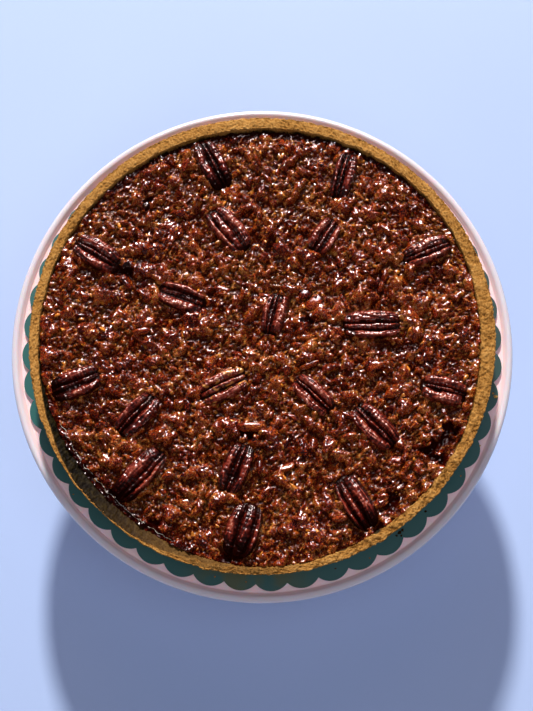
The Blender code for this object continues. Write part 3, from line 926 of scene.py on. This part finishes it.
def nut_surface(tree, where, tint, painted_hollow_shade, wet):
    """Chopped nut with syrup on it: the tint picks the colour, wet patches glint, and painted shade darkens the
    hollows.
    """
    drift = tree.noise(where, 45.0, 2.0)
    patch = tree.noise(where, 170.0, 3.0, 0.65)
    speck = tree.noise(where, 1500.0, 3.0, 0.75)
    amber = tint.step(0.78, 0.84) * 0.22
    shade = (0.08 + tint * 0.7 + amber + (drift - 0.5) * 0.55 + (patch - 0.5) * 0.5
             + (speck - 0.5) * 2.2).clamped()
    colour = tree.mix(painted_hollow_shade * 0.85, nut_colours(tree, shade), (0.014, 0.0008, 0.0002))
    puddle = (tree.noise(where, 160.0, 3.0, 0.6) + wet * 0.15).step(0.38, 0.54)
    coarse = tree.bump(tree.noise(where, 700.0, 1.0, 0.5), 0.0006, 1.0)
    fine = tree.bump(tree.noise(where, 1400.0, 1.0, 0.5), 0.0005, 1.0, coarse)
    return {"Base Color": colour, "Normal": fine, "Coat Weight": 0.08 + puddle * (1 - painted_hollow_shade) * 0.92}


def paint_bed(tree, where):
    """Pale meal shows in a collar round each pecan half, where it was pressed in."""
    # Painted shade: the low places of the bed are darkened towards black.
    painted_hollow_shade = 1 - tree.attribute("rise").step(-0.8, 0.2)
    tint = tree.attribute("tint") + (0.62 - tree.attribute("tint")) * tree.attribute("collar") * 0.7
    return nut_surface(tree, where, tint, painted_hollow_shade, tree.attribute("wet"))


def paint_chips(tree, where):
    tint = tree.attribute("tint")
    # Painted shade: chips lying in low places of the bed are darker.
    painted_hollow_shade = 0.7 - tree.attribute("rise").step(-0.8, 0.2) * 0.7
    return nut_surface(tree, where, tint, painted_hollow_shade, 1 - tint)


WET_NUT = {"roughness": 0.6, "specular_ior_level": 0.0, "coat_roughness": 0.19, "coat_ior": 1.7}
syrup_bed = new_material("nuts_in_syrup", paint_bed, **WET_NUT)
add_piece("filling_bed", filling_mesh, syrup_bed, "nut_syrup", "filling")

# %% [markdown]
# ## Loose chips on the bed
#
# A knife leaves shards: small solids with a few flat cuts. A sphere clipped by planes at
# random gives such a shape. Geometry Nodes then strew six kinds over the open bed, from
# large to fine. Each copy gets its own turn, size and tint, and sinks a little way in.

# %% Shards
def shard_mesh(name, seed, subdivisions, cuts=9):
    """A nut shard about 1 unit long: a sphere clipped by random planes, and flattened."""
    draw = np.random.RandomState(seed)
    faces = draw.normal(size=(cuts, 3))
    faces /= np.linalg.norm(faces, axis=1)[:, None]
    reaches = draw.uniform(0.45, 0.8, cuts)
    shape = bmesh.new()
    bmesh.ops.create_icosphere(shape, subdivisions=subdivisions, radius=1)
    size = Vector((0.5, draw.uniform(0.18, 0.34), draw.uniform(0.14, 0.22)))
    for vertex in shape.verts:
        heading = np.array(vertex.co)
        facing = np.maximum(faces @ heading, 0.05)
        vertex.co *= min(1.0, float((reaches / facing).min()))
        vertex.co *= 1 + 0.22 * noise.noise(vertex.co * 3.5 + Vector((seed, 0, 0)))
        vertex.co = vertex.co * size
    mesh = bpy.data.meshes.new(name)
    shape.to_mesh(mesh)
    shape.free()
    mesh.shade_smooth()
    return mesh


def shard_collection(name, count, subdivisions):
    """A few different shards, for Geometry Nodes to pick from."""
    collection = bpy.data.collections.new(name)
    for number in range(count):
        mesh = shard_mesh(f"{name} {number}", 11 * number + subdivisions, subdivisions)
        collection.objects.link(bpy.data.objects.new(mesh.name, mesh))
    return collection


rough_shards = shard_collection("rough shards", 7, 3)
fine_shards = shard_collection("fine shards", 6, 2)
grain_shards = shard_collection("grains", 5, 1)

# %% Strewing tree
strew_tree, tree, entry = new_geometry_tree("strew chips", [
    ("Shards", "Collection"), ("Where", "String"), ("Per square metre", "Float"), ("Smallest", "Float"),
    ("Largest", "Float"), ("Sink", "Float"), ("Lean", "Float"), ("Darkest", "Float"), ("Lightest", "Float"),
    ("Seed", "Int"), ("Material", "Material")])


def chance(low, high, seed_shift):
    """A random number for each point."""
    seed = tree.value("ShaderNodeMath", {"operation": "ADD"}, {0: entry.outputs["Seed"], 1: seed_shift})
    made = tree.node("FunctionNodeRandomValue", {"data_type": "FLOAT"})
    for place, given in ((2, low), (3, high), (8, seed)):
        tree.fill(made.inputs[place], given)
    return Value(tree, made.outputs[1])


allowed = tree.node("GeometryNodeInputNamedAttribute", {"data_type": "FLOAT"}, {"Name": entry.outputs["Where"]})
density = Value(tree, allowed.outputs[0]) * Value(tree, entry.outputs["Per square metre"])
spots = tree.node("GeometryNodeDistributePointsOnFaces", {"distribute_method": "RANDOM"}, {
    "Mesh": entry.outputs["Geometry"], "Density": density, "Seed": entry.outputs["Seed"]})
tinted = tree.node("GeometryNodeStoreNamedAttribute", {"data_type": "FLOAT", "domain": "POINT"}, {
    "Geometry": spots.outputs["Points"], "Name": "tint"})
tree.fill(next(socket for socket in tinted.inputs if socket.name == "Value" and socket.enabled),
          chance(entry.outputs["Darkest"], entry.outputs["Lightest"], 3.0))
sunk_points = tree.node("GeometryNodeSetPosition", None, {
    "Geometry": tinted.outputs[0],
    "Offset": tree.node("ShaderNodeCombineXYZ", None, {"Z": entry.outputs["Sink"]}).outputs[0]})
lean = Value(tree, entry.outputs["Lean"])
leaning = tree.node("ShaderNodeCombineXYZ", None, {
    "X": chance(-1.0, 1.0, 5.0) * lean, "Y": chance(-1.0, 1.0, 7.0) * lean, "Z": chance(0.0, math.tau, 9.0)})
tilt = tree.node("FunctionNodeEulerToRotation", None, {0: leaning.outputs[0]})
turned = tree.node("FunctionNodeRotateRotation", {"rotation_space": "LOCAL"}, {
    "Rotation": spots.outputs["Rotation"], "Rotate By": tilt.outputs[0]})
shards = tree.node("GeometryNodeCollectionInfo", None, {
    "Collection": entry.outputs["Shards"], "Separate Children": True, "Reset Children": True})
small, large = Value(tree, entry.outputs["Smallest"]), Value(tree, entry.outputs["Largest"])
chip_size = small + (large - small) * chance(0.0, 1.0, 11.0) ** 2.0
strewn = tree.node("GeometryNodeInstanceOnPoints", None, {
    "Points": sunk_points.outputs[0], "Instance": shards.outputs[0], "Pick Instance": True,
    "Rotation": turned.outputs[0], "Scale": chip_size})
close_tree(strew_tree, tree, strewn.outputs[0], entry)

# %% Chips, bits and grains
syrup_chips = new_material("chips_in_syrup", paint_chips, **WET_NUT)
KINDS = [
    ("nut_chips", rough_shards, "roomy", 9000, 4.0, 9.5, 0.6, 0.22, 0.04, 0.30, 3),
    ("nut_slivers", rough_shards, "roomy", 9000, 2.5, 5.5, 0.3, 0.35, 0.04, 0.40, 6),
    ("nut_bits", fine_shards, "open", 30000, 1.4, 3.2, -0.2, 0.5, 0.05, 0.60, 4),
    ("amber_bits", fine_shards, "open", 11000, 1.4, 4.4, -0.1, 0.4, 0.84, 0.97, 7),
    ("nut_grains", grain_shards, "open", 235000, 0.6, 1.4, 0.1, 0.9, 0.20, 0.76, 5),
    ("nut_meal", grain_shards, "open", 235000, 0.5, 1.1, 0.2, 0.9, 0.00, 0.50, 8),
]
for name, collection, where, per_metre, smallest, largest, sink, lean, darkest, lightest, seed in KINDS:
    mesh = grown_mesh(name, filling_mesh.copy(), strew_tree, {
        "Shards": collection, "Where": where, "Per square metre": float(per_metre),
        "Smallest": smallest * MM, "Largest": largest * MM, "Sink": sink * MM, "Lean": lean,
        "Darkest": darkest, "Lightest": lightest, "Seed": seed, "Material": syrup_chips})
    add_piece(name, mesh, None, "nut_syrup")

# %% [markdown]
# ## The pecan halves
#
# A pecan half shows its rounded side: two long lobes, with a low ridge in the deep cleft
# between them. Each lobe ends bluntly and on its own, so the grooves stay open at the
# ends. The skin is creased lengthwise and crinkled across. A table says where each half
# has its grooves, and where its ridge is broken away. The height of the surface is the
# highest of the lobes, the ridge and the floor, with noise for the creases. The place,
# the turn and the size of each half are read from the plain solid that it replaces.

# %% Pecan table
# Far groove and its width, near groove and its width (places from -1 to 1 across the
# half, widths in mm), height of the ridge, and the part of the length without a ridge.
PECAN_FORMS = [
    (0.24, 1.0, -0.08, 1.0, 0.88, 2.0, 2.0), (0.40, 1.2, 0.05, 1.1, 0.90, 2.0, 2.0),
    (0.12, 0.9, -0.52, 0.9, 0.90, 0.25, 0.95), (0.22, 1.3, -0.32, 1.8, 0.75, 2.0, 2.0),
    (0.12, 0.8, -0.20, 1.4, 0.75, 0.60, 1.0), (0.03, 0.8, -0.33, 1.5, 0.80, 2.0, 2.0),
    (0.50, 0.8, -0.10, 0.8, 0.70, -0.75, 0.6), (0.38, 1.1, 0.03, 0.9, 0.80, 2.0, 2.0),
    (0.13, 0.9, -0.40, 1.2, 0.80, 2.0, 2.0), (0.22, 0.9, -0.25, 1.5, 0.75, -0.5, 0.3),
    (0.28, 1.1, -0.25, 1.3, 0.85, 2.0, 2.0), (0.20, 0.7, -0.10, 1.0, 0.85, 2.0, 2.0),
    (0.20, 1.3, -0.08, 1.0, 0.85, 0.3, 0.8), (0.30, 1.2, -0.05, 1.4, 0.80, 2.0, 2.0),
    (0.22, 1.3, -0.15, 0.9, 0.80, 2.0, 2.0), (-0.10, 1.3, -0.50, 0.9, 0.80, -1.0, -0.7),
    (0.20, 1.6, -0.20, 0.9, 0.75, -0.8, -0.2), (-0.05, 1.1, -0.60, 0.9, 0.90, 2.0, 2.0),
    (0.25, 1.3, -0.62, 1.8, 0.85, -1.0, -0.5)]
NUT_LENGTH_STEPS = 88
NUT_TOP_STEPS = 76
NUT_UNDER_STEPS = 8
NUT_SINK = 3 * MM
NUT_FLOOR = 0.22
# Halves with painted shade over one end, and the end: 1 is the right end.
PAINTED_SHADE_ENDS = {1: 1, 10: -1, 16: -1, 18: 1, 19: -1}


def ripple(x, y, seed, long, wide):
    """Smooth noise over the arrays x and y, with features of the given length and width."""
    spots = np.stack([x / long, y / wide, np.full(x.shape, seed * 3.7)], axis=-1).reshape(-1, 3)
    return np.array([noise.noise(Vector(spot)) for spot in spots]).reshape(x.shape)


def lobe(u, v, low, high, start, end):
    """A long rounded lobe between two places across, with blunt ends."""
    across = np.abs((2 * v - low - high) / (high - low))
    along = np.abs((2 * u - start - end) / (end - start))
    return np.clip(1 - across ** 2.3, 0, 1) ** 0.5 * np.clip(1 - along ** 4, 0, 1) ** 0.55


def pecan_rows(length, width, height, form, seed):
    """Cross-sections of a half in its own axes, and marks on them for its material."""
    draw = np.random.RandomState(seed)
    crest = height - NUT_SINK
    far_groove, far_width, near_groove, near_width, ridge_height, hole_start, hole_end = form
    ends = -np.cos(math.pi * np.arange(1, NUT_LENGTH_STEPS) / NUT_LENGTH_STEPS)
    over = np.cos(math.pi * np.arange(NUT_TOP_STEPS + 1) / NUT_TOP_STEPS)
    under = -np.cos(math.pi * np.arange(1, NUT_UNDER_STEPS) / NUT_UNDER_STEPS)
    t, s = np.meshgrid(ends, np.concatenate([over, under]), indexing="ij")
    on_top = np.arange(s.shape[1])[None, :] <= NUT_TOP_STEPS

    plan = (1 - np.abs(t) ** 3.8) ** 0.45
    v = s * plan
    x, y = t * length / 2, v * width / 2
    bent = v / (1 - 0.34 * t ** 2) + 0.05 * ripple(x, 0 * y, seed + 0.2, 6 * MM, MM)
    groove_bend = 0.05 * ripple(x, 0 * y, seed + 0.4, 4 * MM, MM)
    half = width / 2
    far_half, near_half = 0.75 * far_width * MM / width, 0.75 * near_width * MM / width
    far_low = far_groove + far_half + groove_bend
    ridge_high = far_groove - far_half + groove_bend
    ridge_low = near_groove + near_half - groove_bend
    near_high = near_groove - near_half - groove_bend
    short = draw.uniform(0.0, 0.14, 6)
    far_lobe = lobe(t, bent, far_low, 1.02, -1 + short[0], 1 - short[1])
    near_lobe = lobe(t, bent, -1.02, near_high, -1 + short[2], 1 - short[3])
    ridge = lobe(t, bent, ridge_low, ridge_high, -1 + short[4], 1 - short[5]) * ridge_height
    if hole_start < 1.5:
        broken = np.clip((t - hole_start) / 0.12, 0, 1) * np.clip((hole_end - t) / 0.12, 0, 1)
        ridge = ridge * (1 - 0.45 * broken)
    floor_level = NUT_FLOOR * np.clip(1 - t ** 10, 0, 1) * np.clip(1 - s ** 6, 0, 1)
    body = (far_lobe ** 7 + near_lobe ** 7 + ridge ** 7 + floor_level ** 7) ** (1 / 7)
    body = body * (1 - 0.16 * t ** 2) * draw.uniform(0.94, 1.0)

    crease = 1 - 3.2 * np.abs(ripple(x, bent * half, seed + 1.3, 8 * MM, 1.5 * MM))
    crinkle = ripple(x, y, seed + 2.3, 1.0 * MM, 2.4 * MM)
    pimple = ripple(x, y, seed + 3.3, 0.8 * MM, 0.8 * MM)
    relief = (0.42 * crease + 0.66 * crinkle + 0.32 * pimple) * MM
    top = crest * (body - 0.06) + relief * np.clip(2.2 * body, 0, 1) * np.clip(1 - s ** 8, 0, 1)
    under_side = -NUT_SINK * np.clip(1 - t ** 6, 0, 1) ** 0.5 * np.sqrt(np.clip(1 - s ** 4, 0, 1))
    z = np.where(on_top, np.minimum(top, crest), under_side)
    within = np.clip((1 - np.abs(bent)) / 0.35, 0, 1)
    marks = {
        "groove": np.where(on_top, np.clip(1.15 - 2.1 * body, 0, 1) * within, 0),
        "wrinkle": np.where(on_top, np.clip(0.45 * crease + 0.7 * crinkle + 0.4 * pimple, -1, 1), 0),
        "crown": np.where(on_top, np.clip((body - 0.72) / 0.25, 0, 1), 0),
        "edge": np.abs(t) ** 6,
        "burnt": np.clip((PAINTED_SHADE_ENDS.get(seed, 0) * t - 0.15) / 0.6, 0, 1),
    }
    return np.stack([x, y, z], axis=-1), marks


def pecan_mesh(name, nut, form, seed):
    length, width, height = nut["size"]
    rows, marks = pecan_rows(length, width, height, form, seed)
    along, across, up = nut["axes"]
    seat = nut["centre"] + up * NUT_SINK
    mesh = skin_mesh(name, seat + rows[..., :1] * along + rows[..., 1:2] * across + rows[..., 2:] * up)
    for mark, numbers in marks.items():
        note_on_points(mesh, mark, np.append(numbers.ravel(), (0, 0)))
    own = np.vstack([rows.reshape(-1, 3), rows[0].mean(axis=0), rows[-1].mean(axis=0)])
    own[:, 0] += seed * 0.11
    layer = mesh.attributes.new("own_place", "FLOAT_VECTOR", "POINT")
    layer.data.foreach_set("vector", own.astype(np.float32).ravel())
    return mesh


# %% Pecan skin
def new_pecan_material(name, tan, roast, gloss):
    """Roasted skin, worn to golden brown by tan's share, with painted shade in the grooves and painted highlight on the
    crests and crinkles.
    """
    def paint(tree, where):
        groove = tree.attribute("groove")
        wrinkle = tree.attribute("wrinkle")
        own = tree.node("ShaderNodeAttribute", {"attribute_name": "own_place"}).outputs["Vector"]
        stretched = tree.node("ShaderNodeMapping", None, {"Vector": own, "Scale": (0.35, 1.0, 1.0)}).outputs[0]
        streak = tree.noise(stretched, 1100.0, 3.0, 0.65)
        patch = tree.noise(own, 210.0, 3.0, 0.6)
        # The crown and wrinkle terms paint light and shade: crests and crinkle tops lighter, creases darker.
        crown = tree.attribute("crown")
        # Painted shade: some halves are darkened towards one end, which also loses its gloss.
        burnt = tree.attribute("burnt")
        tone = (0.31 - roast - burnt * 0.45 + crown * 0.30 + wrinkle * 0.52 + (streak - 0.5) * 0.55
                + (patch - 0.5) * 0.35).clamped()
        skin_colour = tree.ramp(tone, [
            (0.0, (0.009, 0.0006, 0.0003)), (0.3, (0.060, 0.0036, 0.0018)), (0.5, (0.150, 0.0140, 0.0060)),
            (0.7, (0.260, 0.0460, 0.0230)), (1.0, (0.560, 0.2500, 0.1700))])
        worn = (tree.noise(own, 300.0, 3.0) + tree.attribute("edge") * 0.12 + tan).step(0.70, 0.82)
        skin_colour = tree.mix(worn * (1 - groove), skin_colour, (0.52, 0.22, 0.045))
        # Painted shade: the grooves are darkened to near black.
        painted_groove_shade = tree.mix(groove.step(0.2, 0.85), skin_colour, (0.0080, 0.0008, 0.0003))
        grain = tree.bump(streak, 0.0004, 1.0)
        fine = tree.bump(tree.noise(own, 1500.0, 2.0), 0.0003, 1.0, grain)
        wet = ((1 - groove) * (0.35 + patch) * (1 - burnt * 0.9)).clamped() * gloss
        return {"Base Color": painted_groove_shade, "Normal": fine, "Coat Weight": wet}
    return new_material(name, paint, roughness=0.6, specular_ior_level=0.0, coat_roughness=0.25, coat_ior=1.85)


plain_skin = new_pecan_material("roasted_pecan", 0.0, 0.04, 0.9)
golden_skin = new_pecan_material("golden_edged_pecan", 0.16, -0.08, 0.8)
umber_skin = new_pecan_material("umber_pecan", -0.05, 0.12, 0.85)
dark_skin = new_pecan_material("dark_pecan", -0.1, 0.20, 0.8)
SKINS = {"pecan_01": dark_skin, "pecan_02": dark_skin, "pecan_05": umber_skin, "pecan_10": umber_skin,
         "pecan_11": golden_skin, "pecan_14": umber_skin, "pecan_16": umber_skin, "pecan_17": dark_skin,
         "pecan_18": umber_skin, "pecan_19": dark_skin}

# %% Pecans
for number, (name, nut, form) in enumerate(zip(pecan_names, pecans, PECAN_FORMS), start=1):
    mesh = pecan_mesh("half_" + name, nut, form, number)
    add_piece("half_" + name, mesh, SKINS.get(name, plain_skin), "pecan", name)

# %% [markdown]
# ## Crumbs, large chips and threads of painted highlight
#
# Three small things make the pie look baked and carried, not drawn. A few chips of nut
# are much larger than the rest. Crumbs fell from the rim onto the board and stuck. At
# the lower left, thin broken threads run along the syrup's edge by the wall, and their
# pale patches are a painted highlight.
# The chips and crumbs stand in a table with their places, and the threads are curves
# with a round profile, because a thread is the same all along.

# %% Placed shards
DOWN = Vector((0, 0, -1))
surfaces = {"bed": BVHTree.FromPolygons([vertex.co for vertex in filling_mesh.vertices],
                                        [face.vertices for face in filling_mesh.polygons])}


def surface_height(x, y):
    hit = surfaces["bed"].ray_cast(Vector((x, y, PLATE_TOP + 50 * MM)), DOWN)[0]
    return hit.z if hit else board_high.z


def placed_shards(name, table):
    """One mesh of shards: x, y, length, width, height in mm, turn in degrees, tint, shape."""
    points, faces, tints = [], [], []
    for x, y, length, width, height, turn, shade, shape_number in table:
        source = rough_shards.objects[shape_number].data
        size = np.array([vertex.co for vertex in source.vertices])
        size = size / (size.max(axis=0) - size.min(axis=0)) * (length, width, height) * MM
        cosine, sine = math.cos(math.radians(turn)), math.sin(math.radians(turn))
        spot = np.stack([size[:, 0] * cosine - size[:, 1] * sine, size[:, 0] * sine + size[:, 1] * cosine,
                         size[:, 2]], axis=1)
        start = len(points)
        level = surface_height(x * MM, y * MM) + 0.2 * height * MM
        points += (spot + (x * MM, y * MM, level)).tolist()
        faces += [[start + index for index in face.vertices] for face in source.polygons]
        tints += [shade] * len(source.vertices)
    mesh = bpy.data.meshes.new(name)
    mesh.from_pydata(points, [], faces)
    mesh.shade_smooth()
    note_on_points(mesh, "tint", tints)
    note_on_points(mesh, "rise", np.ones(len(tints)))
    return mesh


BIG_CHIPS = [
    (-6, -45, 16, 5.5, 4.0, 4, 0.30, 0), (12, -66, 14, 4, 3.4, 25, 0.36, 1), (16, -76, 7, 2, 2.0, -50, 0.95, 2),
    (16, -94, 6, 7, 2.4, 0, 0.08, 3), (10, -86, 7, 3, 2.6, 60, 0.30, 4), (28, 19, 13, 7, 3.2, 20, 0.22, 5),
    (21.5, 1, 10, 4, 2.8, 8, 0.40, 6), (24, -13.5, 11, 3.4, 3.0, 26, 0.26, 0), (-20, 26.5, 11, 4.5, 2.8, -4, 0.12, 1),
    (16, -40.5, 10, 3.2, 2.6, -18, 0.16, 2), (57, -15, 9, 5, 3.0, 20, 0.34, 3), (65, -28, 10, 6, 3.2, 30, 0.28, 4),
    (22, 23, 7, 5, 2.4, 10, 0.02, 5), (76, 12, 10, 5, 2.8, -30, 0.30, 6), (-62, 4, 10, 4, 2.8, 15, 0.28, 0),
    (68, -62, 12, 5, 3.0, 12, 0.26, 1), (-38, -84, 9, 6, 3.0, -20, 0.34, 2), (-74, -52, 8, 5, 2.6, 30, 0.30, 3)]
big_chips = placed_shards("large_chips", BIG_CHIPS)
add_piece("large_chips", big_chips, syrup_chips, "nut_syrup")

# %% Crumbs
CRUMBS = [
    (122.6, -26.9, 2.2, 1.8, 1.5, 10, 0.9, 0), (121.4, -25.2, 1.4, 1.2, 1.0, 60, 0.8, 1),
    (70.6, -97.6, 2.4, 1.8, 1.4, 30, 0.1, 2), (72.2, -96.2, 1.6, 1.4, 1.1, 80, 0.1, 3),
    (69.0, -98.9, 1.5, 1.1, 1.0, 0, 0.15, 4), (71.6, -99.0, 1.2, 1.0, 0.9, 45, 0.1, 5),
    (84.2, -86.7, 1.5, 1.2, 1.1, 20, 0.1, 6), (37.5, -115.5, 1.0, 0.8, 0.7, 20, 0.3, 0),
    (-24.0, -119.6, 1.1, 0.9, 0.8, 70, 0.6, 1), (-8.2, -122.3, 0.9, 0.7, 0.6, 10, 0.7, 2),
    (103.0, -68.5, 1.0, 0.8, 0.7, 35, 0.7, 3), (-97.6, -77.9, 1.1, 0.8, 0.7, 15, 0.6, 4),
    (113.6, -52.8, 0.9, 0.7, 0.6, 50, 0.8, 5), (55.0, -110.3, 1.0, 0.8, 0.6, 5, 0.5, 6)]


def paint_crumb(tree, where):
    tint = tree.attribute("tint")
    sand = tree.noise(where, 1500.0, 2.0)
    colour = tree.ramp((tint + (sand - 0.5) * 0.5).clamped(), [
        (0.0, (0.010, 0.006, 0.002)), (0.35, (0.060, 0.024, 0.004)), (0.7, (0.330, 0.150, 0.034)),
        (1.0, (0.600, 0.330, 0.100))])
    return {"Base Color": colour, "Normal": tree.bump(sand, 0.0005, 0.8)}


loose_crumb = new_material("loose_crumb", paint_crumb, roughness=0.85, specular_ior_level=0.1)
add_piece("fallen_crumbs", placed_shards("fallen_crumbs", CRUMBS), loose_crumb, "biscuit")

rim_spots = np.clip((radii - rim_inner) / (0.6 * MM), 0, 1) * (heights > RIM_TOP - 1.0 * MM)
rim_spots = rim_spots * (0.45 + 0.55 * swell(angles, math.radians(280), 60))
note_on_points(crust_mesh, "loose", np.append(rim_spots.ravel(), (0, 0)))
rim_crumbs = grown_mesh("rim_crumbs", crust_mesh.copy(), strew_tree, {
    "Shards": grain_shards, "Where": "loose", "Per square metre": 800000.0, "Smallest": 0.4 * MM,
    "Largest": 1.2 * MM, "Sink": -0.05 * MM, "Lean": 0.8, "Darkest": 0.45, "Lightest": 0.95, "Seed": 9,
    "Material": loose_crumb})
add_piece("rim_crumbs", rim_crumbs, None, "biscuit")

# %% Threads of painted highlight
THREADS = [(203, 211), (211.6, 219), (220, 231), (231.5, 238), (239, 246)]
threads = bpy.data.curves.new("dried syrup", "CURVE")
threads.dimensions = "3D"
threads.bevel_depth = 0.2 * MM
threads.bevel_resolution = 2
threads.use_fill_caps = True
for first, last in THREADS:
    headings = np.radians(np.linspace(first, last, 2 + 4 * int(last - first)))
    line = threads.splines.new("POLY")
    line.points.add(len(headings) - 1)
    for point, heading in zip(line.points, headings):
        sway = noise.noise(Vector((heading * 40, first, 0.5)))
        radius = wall_radius(heading) - (2.2 + 1.1 * sway) * MM
        x, y = radius * math.cos(heading), radius * math.sin(heading)
        point.co = (x, y, surface_height(x, y) + 0.12 * MM, 1)
        point.radius = 0.55 + 0.6 * noise.noise(Vector((heading * 60, 4.2, first)))
thread_blank = bpy.data.objects.new("dried syrup", threads)
bpy.context.scene.collection.objects.link(thread_blank)
thread_mesh = evaluated_mesh(thread_blank)
bpy.data.objects.remove(thread_blank)
thread_mesh.shade_smooth()


def paint_thread(tree, where):
    # Painted highlight: the pale patches stand in for light along the syrup's edge, and the rest is brown.
    pale_highlight = tree.noise(where, 500.0, 3.0).step(0.35, 0.65)
    return {"Base Color": tree.mix(pale_highlight, (0.10, 0.07, 0.03), (0.52, 0.50, 0.44))}


dried_syrup = new_material("dried_syrup", paint_thread, roughness=0.45)
add_piece("dried_syrup", thread_mesh, dried_syrup, "nut_syrup")
